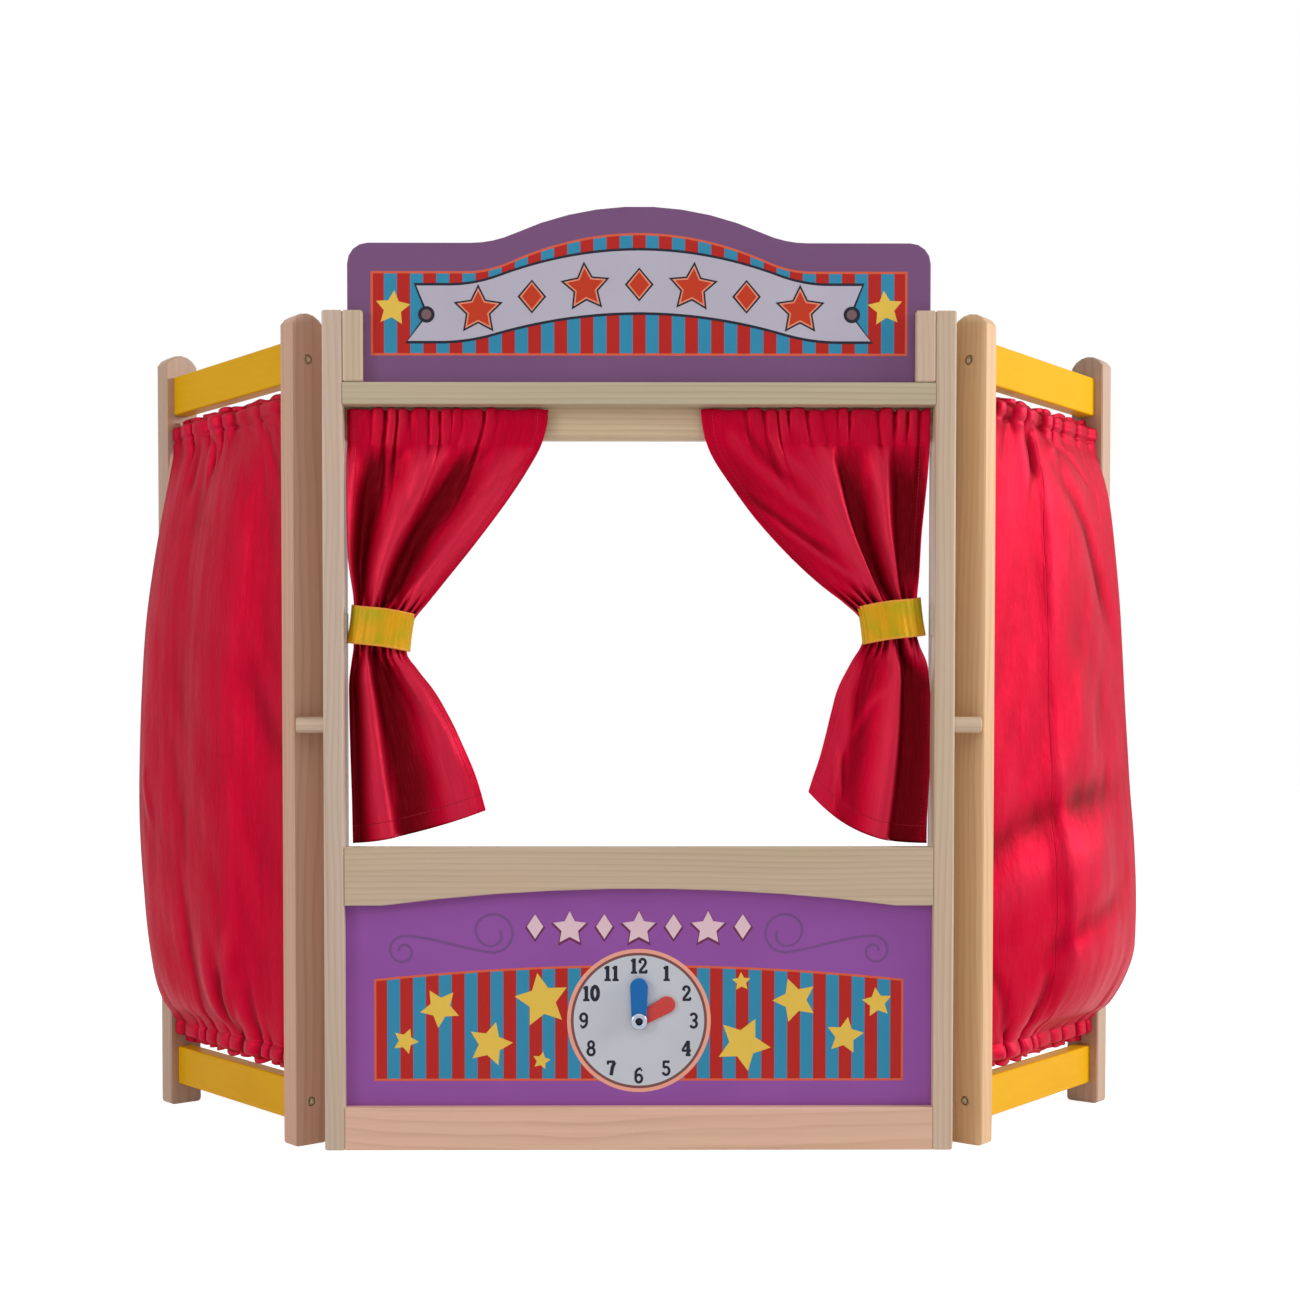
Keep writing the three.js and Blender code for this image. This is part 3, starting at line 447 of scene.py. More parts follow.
def ribbon_satin(name):
    """Ribbon satin on its own UV map: weft ribs across it and woven edges along it."""
    colours = bpy.context.scene.theatre_colours
    finish = Finish(name, Metallic=0.2, Specular_IOR_Level=0.2)
    place = finish.place("UV")
    along, up, _ = finish.split(place)
    rib_pitch, woven_edge = 0.0007, 0.0016
    rib = (along * (2 * math.pi / rib_pitch)).wave()
    float_line = finish.noise(finish.mapped(place, (60, 2400, 1)), 1, 2)
    cloud = finish.noise(finish.mapped(place, (90, 60, 1)), 1, 3)
    edge = (up.least(RIBBON_WIDTH_MM * MM - up) - woven_edge).inside(0.0006)
    hue = tuple(colours.ribbon)
    green = (hue[0] * 0.62, hue[1] * 0.86, hue[2])
    amber = (hue[0] * 1.06, hue[1] * 0.82, hue[2])
    body = finish.mix(((cloud - 0.42) * 3).clamped(), amber, green)
    body = finish.mix(((float_line - 0.5) * 0.8).clamped(), body, amber)
    finish.feed(Base_Color=finish.mix(edge * 0.8, body, colours.selvedge),
                Roughness=0.36 + float_line * 0.12)
    finish.raise_by(rib * 0.08 + float_line * 0.1 + cloud * 0.5 + edge * 0.4, 0.0006, 0.6)
    return finish.material


def striped_board(name, paint, middle_y, panel, seed):
    """Paint with a printed panel of red and blue stripes on its front. The panel runs from
    bottom to top between -half and half, and its top edge rises to the middle by rise in two
    arcs that meet at turn and end at span. A thin line runs round it."""
    half_line, line_inset = 0.0009, 0.0008
    colours = bpy.context.scene.theatre_colours
    count = bpy.context.scene.theatre_sizes.stripe_count
    finish = Finish(name, Specular_IOR_Level=0.22)
    place = finish.place()
    x, y, z = finish.split(place)
    away = abs(x)
    crest = panel["rise"] / (panel["turn"] * panel["span"])
    outer_curve = crest * panel["turn"] / (panel["span"] - panel["turn"])
    hill = panel["rise"] - away.least(panel["turn"]) ** 2 * crest
    foot_rise = (panel["span"] - away).most(0) ** 2 * outer_curve
    on_hill = (away - panel["turn"]).inside(0.0001)
    rise = hill * on_hill + foot_rise * (1 - on_hill)
    edge = (away - panel["half"]).most(panel["bottom"] - z).most(z - panel["top"] - rise)
    pitch = 2 * panel["half"] / count
    fold = abs((x / (2 * pitch) + 0.5 + (count - 1) / 4).fraction() - 0.5)
    red = ((fold - 0.25) * (2 * pitch)).inside(0.0005)
    cloud = finish.noise(finish.mapped(place, (11, 11, 16), (seed, 0, 0)), 1, 3)
    peel = finish.noise(place, 900, 2)
    fade = ((cloud - 0.4) * 1.2).clamped()
    red_stripe = finish.mix(fade * 0.5, colours.stripe_red, deeper(colours.stripe_red, 0.72))
    blue_stripe = finish.mix(fade * 0.6, colours.stripe_blue, deeper(colours.stripe_blue, 0.78))
    purple = finish.mix(fade, paint, deeper(paint, 0.8))
    stripes = finish.mix(red, blue_stripe, red_stripe)
    front = (y - middle_y).inside(0.0002)
    panelled = finish.mix(edge.inside(0.0005) * front, purple, stripes)
    line = (abs(edge + line_inset) - half_line).inside(0.0005) * front
    finish.feed(Base_Color=finish.mix(line, panelled, colours.outline),
                Roughness=0.36 + cloud * 0.12)
    finish.raise_by(peel * 0.8 + edge.inside(0.0005) * 0.3, 0.00006, 0.5)
    return finish.material


# Meshes from arrays


def make_piece(name, points, faces, materials, uvs=None, face_materials=None, smooth=True):
    """An object at the origin from an array of points and an array or list of faces."""
    mesh = bpy.data.meshes.new(name)
    mesh.from_pydata(points.reshape(-1, 3).tolist(), [],
                     faces.tolist() if isinstance(faces, np.ndarray) else faces)
    for material in materials:
        mesh.materials.append(material)
    if face_materials is not None:
        mesh.polygons.foreach_set("material_index", np.asarray(face_materials, np.int32))
    if uvs is not None:
        layer = mesh.uv_layers.new(name="UVMap")
        corners = np.zeros(len(mesh.loops), np.int32)
        mesh.loops.foreach_get("vertex_index", corners)
        layer.uv.foreach_set("vector", uvs.reshape(-1, 2)[corners].astype(np.float32).ravel())
    mesh.polygons.foreach_set("use_smooth", np.full(len(mesh.polygons), smooth))
    mesh.validate()
    mesh.update()
    piece = bpy.data.objects.new(name, mesh)
    bpy.context.scene.collection.objects.link(piece)
    return piece


def grid_faces(rows, columns, round_columns=False):
    """Quads of a grid of points whose columns run fastest. round_columns closes each row."""
    last = columns if round_columns else columns - 1
    row, column = np.meshgrid(np.arange(rows - 1), np.arange(last), indexing="ij")
    beside = (column + 1) % columns
    corners = (row * columns + column, (row + 1) * columns + column,
               (row + 1) * columns + beside, row * columns + beside)
    return np.stack(corners, -1).reshape(-1, 4)


def mark_points(piece, name, values):
    """A number for each point of a piece's mesh, which its material reads by that name."""
    piece.data.attributes.new(name, "FLOAT", "POINT").data.foreach_set("value", values.ravel())


def thicken(piece, thickness):
    """Gives a sheet its thickness, half to each side."""
    solidify = piece.modifiers.new("thickness", "SOLIDIFY")
    solidify.thickness = thickness
    solidify.offset = 0
    solidify.use_even_offset = False
    return piece


def blended(table, places):
    """Values read from a table of places and values with no kinks: each stretch eases in and out
    of the slopes at its ends, which are the means of the slopes beside them."""
    table = np.array(table, float)
    x, y = table[:, 0], table[:, 1]
    slopes = np.diff(y) / np.diff(x)
    ends = np.concatenate([slopes[:1], (slopes[:-1] + slopes[1:]) / 2, slopes[-1:]])
    flat = np.concatenate([[False], slopes[:-1] * slopes[1:] <= 0, [False]])
    ends[flat] = 0
    index = np.clip(np.searchsorted(x, places, side="right") - 1, 0, len(x) - 2)
    gap = x[index + 1] - x[index]
    t = np.clip((places - x[index]) / gap, 0, 1)
    return ((1 + 2 * t) * (1 - t) ** 2 * y[index] + t * (1 - t) ** 2 * gap * ends[index]
            + t ** 2 * (3 - 2 * t) * y[index + 1] + t ** 2 * (t - 1) * gap * ends[index + 1])


def eased(values, start, end):
    """0 before the start and 1 past the end, with an easy rise between."""
    t = np.clip((values - start) / (end - start), 0, 1)
    return t * t * (3 - 2 * t)


def row_lengths(points):
    """Length of each row of points."""
    return np.linalg.norm(np.diff(points, axis=1), axis=2).sum(1)


def fold_to_length(shape, flat, deepest):
    """Fold depth of each row for which shape(depth) is as long as the flat cloth is wide, found
    by halving between nothing and the deepest fold that the row has room for."""
    halvings = 22
    low = np.zeros_like(deepest)
    high = deepest.copy()
    for _ in range(halvings):
        middle = (low + high) / 2
        short = row_lengths(shape(middle)) < flat
        low = np.where(short, middle, low)
        high = np.where(short, high, middle)
    return (low + high) / 2


def even_columns(points, columns):
    """Rows of points resampled to columns that lie evenly along the cloth."""
    steps = np.linalg.norm(np.diff(points, axis=1), axis=2)
    along = np.concatenate([np.zeros((len(points), 1)), np.cumsum(steps, 1)], 1)
    along /= along[:, -1:]
    wanted = np.linspace(0, 1, columns)
    rows = [[np.interp(wanted, place, row[:, axis]) for axis in range(3)]
            for place, row in zip(along, points)]
    return np.array(rows).transpose(0, 2, 1)


def cloth_uvs(points, flat):
    """Flat cloth coordinates in metres: across it evenly, and down it by the rows' mean step."""
    steps = np.linalg.norm(np.diff(points, axis=0), axis=2).mean(1)
    down = np.concatenate([[0], np.cumsum(steps)])
    across = np.linspace(0, flat, points.shape[1])
    grid = np.stack(np.meshgrid(across, down), -1)
    return grid, down[-1]


def ripple_field(across, down, seed, count, wavelengths):
    """Sum of a few slanting sine ripples with seeded directions, lengths and phases, about 1 high."""
    steepest = 0.9
    random = np.random.default_rng(seed)
    total = np.zeros(np.broadcast(across, down).shape)
    for _ in range(count):
        wavelength = random.uniform(*wavelengths)
        slant = random.uniform(-steepest, steepest)
        phase = random.uniform(0, 2 * math.pi)
        way = across * math.cos(slant) + down * math.sin(slant)
        total += np.sin(2 * math.pi * way / wavelength + phase)
    return total / math.sqrt(count)


# Curtains


def middle_height(node):
    """Height in metres of the middle of a CAD node."""
    low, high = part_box(node)
    return (low.z + high.z) / 2


def theatre_points(x_mm, y_mm, z_mm):
    """Points in metres from millimetres measured from the middle, the posts' front and the ground."""
    return np.stack(np.broadcast_arrays(x_mm * MM, FRONT + y_mm * MM, z_mm * MM), -1)


# How far the middle of a wing's thickness is outward from its pin line
WING_MIDDLE_MM = 17.5


def wing_points(side, along_mm, outward_mm, z_mm):
    """Points of a wing: along it from its pin line, and outward from that line towards its outer
    face, turned by the wing's stance about the pin."""
    cosine, sine = math.cos(WING_ANGLE), math.sin(WING_ANGLE)
    pin_x = abs(PIN["left"][0]) / MM
    pin_y = (PIN["left"][1] - FRONT) / MM
    x = side * (pin_x + along_mm * cosine + outward_mm * sine)
    return theatre_points(x, pin_y + along_mm * sine - outward_mm * cosine, z_mm)


# Shape of both stage curtains down their drop, in mm: how far behind the posts' front the cloth
# hangs, how deep its folds may be, how much of them are main folds or gathers, and how far the
# cloth is bunched and pleated in the tie
STAGE_DROP_MM = 350
STAGE_CLOTH = {
    "middle": [(0, 12.2), (22, 12.6), (60, 13.4), (110, 13.6), (350, 13.6)],
    "deepest": [(0, 2.6), (14, 2.4), (30, 5.5), (62, 9), (110, 9.6), (158, 9), (190, 9), (230, 9.8),
                (300, 9.4), (350, 8)],
    "main": [(0, 0.3), (10, 0.35), (26, 0.75), (50, 1), (350, 1)],
    "gathers": [(0, 1.2), (5, 1.1), (9, 0.85), (15, 1.0), (24, 0.8), (36, 0.42), (50, 0.12), (64, 0),
                (350, 0)],
    "bunched": [(0, 0), (90, 0.05), (130, 0.35), (158, 1), (190, 1), (212, 0.45), (250, 0.1), (350, 0)],
    "pleats": [(0, 0), (128, 0), (150, 0.12), (160, 0.5), (168, 1), (184, 1), (192, 0.5), (204, 0.12),
               (236, 0), (350, 0)],
}
# Each stage curtain. inner and outer are its edges down its drop, in mm from the middle. hem is the
# lift of its inner corner and how late that starts across the cloth, and tie how much lower its
# ribbon is. above and below are the turns of its main folds from the post to the inner edge, over
# and under the ribbon: whole turns are ridges and halves are valleys. drift is how far the upper
# ones move across, height how high they are, and lean how far they lean towards the inner edge.
# Gathers end at flat_from. drags are slanting folds on the flat cloth: start, end, width, height
STAGE_FOLDS = {
    "left": {
        "inner": [(0, 73), (12, 74), (30, 79.5), (49, 90), (78, 109.5), (107, 131.5), (136, 155),
                  (156, 171), (168, 181), (180, 187), (195, 187.5), (210, 179), (230, 166), (260, 152.5),
                  (290, 142), (320, 132), (350, 124)],
        "outer": [(0, 235.6), (60, 235), (120, 234), (158, 230), (190, 230.5), (225, 235), (350, 232.5)],
        "hem": (27, 1.5),
        "tie": 0,
        "drift": 0.15,
        "above": [(0, -0.9), (0.12, -0.5), (0.34, 0), (0.6, 0.5), (0.84, 1), (1, 1.25)],
        "below": [(0, -0.6), (0.05, -0.48), (0.25, 0), (0.4, 0.42), (0.56, 0.56), (0.84, 1), (1, 1.22)],
        "height_above": [(0, 1), (0.5, 1), (0.75, 0.9), (1, 0.8)],
        "height_below": [(0, 1), (0.5, 0.95), (0.8, 0.8), (1, 0.8)],
        "lean": 3.6,
        "flat_from": 0.7,
        "drags": [(150, 60, 110, 150, 9, 1.5), (172, 22, 138, 64, 5, -1.5), (120, 215, 150, 300, 12, 1.5),
                  (40, 240, 52, 335, 7, -1.3), (44, 34, 62, 120, 6, -1.2), (100, 20, 92, 60, 5, 1.2),
                  (64, 262, 60, 330, 7, 1.4)],
    },
    "right": {
        "inner": [(0, 49.5), (10, 50.5), (26, 54), (40, 60.5), (59, 73.5), (88, 95), (117, 121.5),
                  (141, 147.5), (156, 166.5), (166, 177.5), (176, 181.5), (188, 180.5), (204, 171.5),
                  (230, 161), (260, 155.5), (290, 151), (320, 145.5), (350, 137)],
        "outer": [(0, 235.4), (40, 234.4), (70, 232), (100, 229), (130, 227), (152, 225), (178, 224.5),
                  (190, 227), (208, 234), (350, 234.6)],
        "hem": (42, 2.6),
        "tie": -6,
        "drift": -0.02,
        "above": [(0, -0.7), (0.03, -0.56), (0.13, -0.44), (0.24, 0), (0.33, 0.42), (0.4, 0.56), (0.5, 1),
                  (0.8, 1.3), (1, 1.5)],
        "below": [(0, 0.4), (0.1, 0.47), (0.26, 0.56), (0.42, 1), (0.66, 1.42), (0.85, 1.9), (1, 2.1)],
        "height_above": [(0, 1), (0.35, 1), (0.55, 0.9), (0.8, 0.5), (1, 0.45)],
        "height_below": [(0, 1), (0.45, 1), (0.62, 0.5), (1, 0.45)],
        "lean": -3.2,
        "flat_from": 0.76,
        "drags": [(168, 14, 112, 92, 7, 2.2), (150, 10, 124, 60, 5, -1.8), (176, 66, 118, 118, 7, -1.8),
                  (170, 84, 104, 142, 6, 1.8), (136, 12, 108, 58, 5, 1.5), (168, 300, 122, 340, 7, 2.0),
                  (150, 292, 134, 336, 5, -1.6), (96, 226, 140, 272, 7, 1.6),
                  (160, 316, 148, 344, 3.4, 1.2)],
    },
}


def drag_folds(across, down, drags):
    """Sum of slanting folds. Each goes from one place on the cloth to another, across and down in
    mm, bows a little, has a bell-shaped section of its width and height, and fades towards its
    ends."""
    bow, full_half, fade_out = 0.06, 0.28, 0.05
    total = np.zeros(np.broadcast(across, down).shape)
    for start_x, start_y, end_x, end_y, width, height in drags:
        run = np.array([end_x - start_x, end_y - start_y], float)
        span = np.linalg.norm(run)
        run /= span
        along = (across - start_x) * run[0] + (down - start_y) * run[1]
        beside = (across - start_x) * -run[1] + (down - start_y) * run[0]
        beside = beside + bow * span * np.sin(math.pi * np.clip(along / span, 0, 1))
        fade = np.exp(-np.clip(np.abs(along / span - 0.5) - full_half, 0, None) ** 2 / fade_out)
        total += height * fade * np.exp(-(beside / width) ** 2)
    return total


def bell(reach):
    """Weights of a rounded mean over so many values to both sides."""
    weights = np.hanning(2 * reach + 1)
    return weights / weights.sum()


def smoothed(values, reach=4):
    """A rounded mean along the values."""
    return np.convolve(np.pad(values, reach, mode="edge"), bell(reach), mode="valid")


def gather_phase(across, count, seed, uneven=1.0):
    """Phase of gathers of uneven width: even turns plus a few slow seeded sines."""
    phase = np.random.default_rng(seed).uniform(0, 2 * math.pi, 3)
    sines = zip((0.95, 0.75, 0.4), (1.6, 3.7, 7.1), phase)
    wander = sum(size * np.sin(2 * math.pi * turns * across + start) for size, turns, start in sines)
    return 2 * math.pi * count * across + uneven * wander


def uneven_gathers(across, count, seed, uneven=1.0):
    """Gathers of uneven width and height, with round ridges and tight valleys."""
    turn = gather_phase(across, count, seed, uneven)
    height = 0.68 + 0.5 * np.sin(2 * math.pi * 3.1 * across + seed) * np.sin(7.3 * across + 2 * seed)
    return height * (np.cos(turn) - 0.24 * np.cos(2 * turn) + 0.06 * np.cos(3 * turn))


def stage_cloth_surface(name, side, seed, flat):
    """A tied-back curtain, all in mm. Each level of the cloth runs from the post to the inner edge
    as a row of folds: x goes evenly across and leans with the folds, and y goes in and out by a
    few main folds, by gathers that die out below the heading, and by slanting drag folds. The
    depth of each row makes it as long as the flat cloth where there is room, and in the tie an
    ellipse limits it. The hem's inner corner is lifted."""
    tie_middle, tie_top, tie_foot = 176, 150, 225
    top_above_ledge = 352.2
    nearest, farthest = 1.2, 24.5
    gather_count, unevenness, columns = 14, 1.5, 190
    kind = STAGE_FOLDS[name]
    level = np.concatenate([np.linspace(0, 30, 34), np.linspace(31.5, tie_top, 60),
                            np.linspace(152, 196, 26), np.linspace(198.5, STAGE_DROP_MM, 64)])[:, None]
    across = np.linspace(0, 1, 1500)[None, :]
    held = level - kind["tie"] * eased(level, 60, tie_top) * (1 - eased(level, 210, 300))
    read = {part: blended(table, held) for part, table in STAGE_CLOTH.items()}
    inner, outer = blended(kind["inner"], level), blended(kind["outer"], level)
    width = outer - inner
    below = eased(level, tie_top, tie_foot)
    drifted = across + kind["drift"] * np.clip((level - 90) / 80, -1, 1) * np.sin(math.pi * across)
    turn = blended(kind["above"], drifted) * (1 - below) + blended(kind["below"], across) * below
    turn = turn + 0.03 * np.sin(2 * math.pi * 1.3 * across + seed + level / 70)
    theta = 2 * math.pi * turn
    height = (blended(kind["height_above"], across) * (1 - below)
              + blended(kind["height_below"], across) * below)
    ridge = 0.92 * np.cos(theta) * height
    gathered = 1 - eased(across, kind["flat_from"] - 0.08, kind["flat_from"] + 0.12) + 0.12
    gather = uneven_gathers(across, gather_count, seed + 1, unevenness) * gathered
    curl = np.sin(gather_phase(across, gather_count, seed + 1, unevenness)) * gathered
    reach = 1 + 0.5 * np.sin(2 * math.pi * 4.3 * across + seed) + 0.2 * np.sin(2 * math.pi * 9.1 * across)
    gather_depth = blended(STAGE_CLOTH["gathers"], np.clip(level / reach, 0, STAGE_DROP_MM - 1))
    heading = blended(STAGE_CLOTH["gathers"], np.clip(level, 0, STAGE_DROP_MM - 1))
    oval = np.sqrt(np.clip(1 - (2 * across - 1) ** 2, 0, 1))
    wave = read["main"] * ridge * (1 + (oval - 1) * read["bunched"])
    pleat = read["pleats"] * np.cos(gather_phase(across, 8, seed + 2))
    wave = wave * (1 - 0.75 * read["pleats"]) + 0.75 * pleat * oval
    cloth_x, cloth_y = across * flat, level + 0 * across
    crush = ripple_field(cloth_x, cloth_y, seed + 5, 9, (26, 60))
    fine = ripple_field(cloth_x, cloth_y * 0.35, seed + 9, 8, (9, 18))
    near_tie = np.exp(-np.abs(held - tie_middle) / 40)
    wrinkle = 0.45 * crush * eased(level, 15, 60) + 0.16 * fine * (0.1 + 2.2 * near_tie)
    wrinkle = wrinkle + drag_folds(cloth_x, cloth_y, kind["drags"]) * eased(level, 4, 26)
    wrinkle = wrinkle + 1.5 * gather_depth * gather
    lean = kind["lean"] * read["main"] * np.cos(theta) * height * np.sin(math.pi * across) ** 0.6
    lean = lean * np.clip(width / 110, 0.35, 1) + 0.7 * heading * curl
    gone = across + lean / width
    corner, lateness = kind["hem"]
    lift = corner * eased(level, 190, STAGE_DROP_MM) * np.clip(gone, 0, 1) ** lateness
    scallop = (gather + 0.5 * np.sin(2 * math.pi * 5.3 * across + seed)) * np.exp(-level / 6) * 1.1
    z = LEDGE / MM + top_above_ledge - level + lift + scallop
    x = outer - width * gone

    def rows(depth):
        y = read["middle"] - depth[:, None] * wave - wrinkle
        return np.stack(np.broadcast_arrays(x, np.clip(y, nearest, farthest), z), -1)

    depth = smoothed(fold_to_length(rows, flat, read["deepest"][:, 0]))
    shaped = even_columns(rows(depth), columns)
    return theatre_points(side * shaped[..., 0], shaped[..., 1], shaped[..., 2])


# Each wing's curtain. far is its free far edge: height and distance outward. spread is height and
# how far it spreads past the back stile's near side. drags are slanting folds as on the stage
# curtains, swell is how far its middle billows, and folds are its soft upright folds across it.
# gathered and pinched are how full its gathers are across it, on the upper and the lower rod. seam
# is where a sewn join crosses it, at its top and further down, as shares of its width
WING_CLOTH = {
    "left": {
        "far": [(57, 21), (68, 25), (85, 34), (107, 44), (140, 50), (186, 52.5), (222, 52.5),
                (312, 51), (375, 49), (438, 46.5), (484, 43), (529, 37), (575, 28.5), (595, 25),
                (606, 23.5), (617, 21)],
        "spread": [(57, 0), (107, 1), (140, 3), (186, 9), (222, 15), (267, 20), (312, 21), (375, 20),
                   (438, 15), (484, 8), (529, 2.8), (575, 0.3), (617, 0)],
        "drags": [(119, 446, 108, 532, 8, 2.6), (101, 468, 104, 545, 6, -3.4), (84, 440, 94, 538, 8, 2.4),
                  (150, 420, 126, 532, 10, -2.2), (62, 480, 54, 546, 8, -1.4), (66, 205, -6, 300, 18, -2.2),
                  (143, -4, 140, 44, 5, -3.4), (150, 0, 152, 60, 6, 2.0), (222, 300, 206, 348, 4, 1.6),
                  (176, 4, 186, 60, 6, -2.2), (46, 8, 20, 60, 7, -1.2)],
        "swell": 13,
        "folds": [(0, 0), (0.16, -0.6), (0.26, -0.3), (0.4, 0.8), (0.52, 0.2), (0.66, -0.8), (0.8, 0),
                  (0.92, 0.7), (1, 0.4)],
        "gathered": [(0, 0.4), (0.2, 0.2), (0.42, 0.35), (0.53, 1.35), (0.66, 1.2), (0.85, 1), (1, 0.6)],
        "pinched": [(0, 0.5), (0.24, 0.45), (0.34, 1.2), (0.56, 1.35), (0.66, 0.6), (0.85, 0.5), (1, 0.6)],
        "seam": (0.55, 0.39),
    },
    "right": {
        "far": [(57, 21), (68, 25), (80, 33), (92, 43), (117, 57), (150, 65), (186, 64), (231, 59),
                (276, 53), (312, 50), (366, 46.5), (412, 45), (493, 43), (548, 38), (576, 31.5),
                (595, 26), (606, 23.5), (617, 21)],
        "spread": [(57, 0), (107, 1), (140, 3), (186, 8), (222, 14), (267, 20), (312, 21), (375, 20),
                   (438, 15), (484, 8), (529, 2.8), (575, 0.3), (617, 0)],
        "drags": [(-14, 380, 200, 318, 19, -4.2), (-10, 424, 180, 366, 17, 1.6),
                  (50, 474, 190, 412, 15, -3.4), (30, 492, 120, 456, 14, 1.0),
                  (10, 462, 38, 528, 7, -2.4), (76, 470, 70, 522, 6, -2.8),
                  (96, 470, 88, 530, 7, 2.2), (126, 46, 206, 168, 11, -3.4), (119, 16, 190, 52, 4, -1.8),
                  (83, -6, 79, 52, 5, -4.2), (66, 0, 62, 70, 8, 1.8), (110, -4, 122, 34, 9, 3.0),
                  (40, 0, 34, 40, 5, -1.6)],
        "swell": 16,
        "folds": [(0, 0.2), (0.1, -0.3), (0.3, -0.45), (0.37, -0.1), (0.44, 0.8), (0.62, 0.5), (0.8, -0.3),
                  (1, 0.4)],
        "gathered": [(0, 0.75), (0.15, 0.6), (0.3, 1.35), (0.45, 1.1), (0.6, 0.6), (0.76, 0.25), (1, 0.35)],
        "pinched": [(0, 0.5), (0.1, 0.7), (0.18, 1.35), (0.36, 1.3), (0.48, 0.6), (1, 0.5)],
        "seam": (0.45, 0.36),
    },
}


def wing_cloth_surface(name, side, seed, flat):
    """A wing's curtain, all in mm, gathered on two rods. Its profile climbs behind the upper rod,
    turns over in a ruffle above it, comes down the rod's outer side, billows and goes round the
    lower rod in the same way. Across the wing each row billows outward by a sine and by a table
    of its free edge, and carries uneven gathers near the rods that run out into a few soft and
    slanting folds. The depth of each row makes it as long as the flat cloth, and a skin round
    the rods keeps it off them."""
    bore, billows_from, near_edge, bay = 4.7, 22.2, 20.2, 196.3
    upper_gathers, lower_gathers, columns = 8, 9, 200
    kind = WING_CLOTH[name]
    random = np.random.default_rng(seed)
    phase = random.uniform(0, 2 * math.pi, 6)
    high, low = (middle_height(f"{name}_wing_{end}_rod") / MM for end in ("top", "bottom"))
    middle = WING_MIDDLE_MM
    inside = np.concatenate([
        np.linspace(high - 13, high + 5.5, 12), np.linspace(high + 6.5, high + 10, 4)])
    outside = np.concatenate([
        np.linspace(high + 10.6, high - 20, 28), np.linspace(high - 23, high - 90, 20),
        np.linspace(high - 95, low + 80, 62), np.linspace(low + 76, low + 20, 20),
        np.linspace(low + 18, low - 10.6, 26)])
    under = np.concatenate([
        np.linspace(low - 10, low - 6.5, 4), np.linspace(low - 5.5, low + 13, 12)])
    z = np.concatenate([inside, outside, under])[:, None]
    layer = np.concatenate([-np.ones(len(inside)), np.ones(len(outside)), -np.ones(len(under))])[:, None]
    from_rod = np.minimum(np.abs(z - high), np.abs(z - low))
    ruffle = np.maximum(eased(z, high + 3, high + 7), eased(-z, 3 - low, 7 - low))
    round_rod = np.sqrt(np.clip(bore ** 2 - from_rod ** 2, 0, None))
    tangent = bore * (1 - 0.45 * eased(from_rod, 0, 12))
    hugging = np.maximum(round_rod, tangent * np.where(layer > 0, 1, 0.8))
    standing = layer * (hugging * (1 - ruffle) + 0.35 * ruffle)
    free = (layer > 0) * eased(from_rod, 3, 26) * (z < high) * (z > low)
    across = np.linspace(0, 1, 1300)[None, :]
    far = blended(kind["far"], z)
    billow = free * np.clip((far - 22) / 30, 0, 1.5)
    far_base = np.where(free > 0, billows_from + (far - billows_from) * free, middle + standing)
    near_base = middle + standing + 3 * np.clip(billow, 0, 1)
    base = near_base * (1 - across) + far_base * across
    base = base + kind["swell"] * billow * np.sin(math.pi * across ** 1.15)
    along = near_edge + across * (bay + blended(kind["spread"], z))
    warp = 0.03 * np.sin(2 * math.pi * 0.8 * across + phase[0] + z / 150) * np.sin(math.pi * across)
    theta = 2 * math.pi * 2.4 * (across + warp) + phase[1] + 0.9 * np.sin(z / 170 + phase[2])
    soft = blended(kind["folds"], across + warp) + 0.12 * np.cos(theta)
    top = z > 340
    gather = np.where(top, uneven_gathers(across, upper_gathers, seed + 1),
                      uneven_gathers(across, lower_gathers, seed + 2))
    curl = np.where(top, np.sin(gather_phase(across, upper_gathers, seed + 1)),
                    np.sin(gather_phase(across, lower_gathers, seed + 2)))
    bunches = np.where(top, blended(kind["gathered"], across), blended(kind["pinched"], across))
    gather, curl = gather * bunches, curl * bunches
    strength = 1 + 0.55 * np.sin(2 * math.pi * 3.3 * across + phase[3] + top)
    beyond = np.clip(from_rod - 9, 0, None)
    settle = np.exp(-beyond / (np.where(top, 9, 13) * strength))
    long_fold = np.exp(-beyond / 45) * (1 - settle) * uneven_gathers(across, 4, seed + 4) * 0.3 * bunches
    wave = gather * settle + soft * (1 - settle) * eased(from_rod, 10, 90) + long_fold
    sewn = np.exp(-((np.abs(z - high) - 8.5) / 1.7) ** 2) + np.exp(-((np.abs(z - low) - 8.5) / 1.7) ** 2)
    cloth_x, cloth_y = across * flat, high - z + 0 * across
    slant = ripple_field(cloth_x, cloth_y, seed + 3, 8, (50, 120))
    fine = ripple_field(cloth_x, cloth_y * 0.6, seed + 8, 8, (14, 30))
    held = np.sin(math.pi * across) ** 0.35
    wrinkle = (0.8 * slant * np.clip(billow, 0, 1) + 0.14 * fine * (0.2 + free)) * held
    wrinkle = wrinkle + free * drag_folds(cloth_x, cloth_y, kind["drags"]) - 1.5 * sewn * (layer > 0)
    uneven = np.sin(2 * math.pi * 6.3 * across + phase[4]) * np.sin(9 * across + phase[5])
    scallop = 1.9 * (0.6 * gather + 0.7 * uneven) * ruffle * np.where(top, 1, -1)
    lean = (1 - settle) * 2.5 * np.sin(theta) * np.sin(math.pi * across)
    lean = lean + settle * 1.7 * curl * np.sin(math.pi * across) ** 0.3
    rod_skin = np.sqrt(np.clip((bore - 0.1) ** 2 - from_rod ** 2, 0, None))

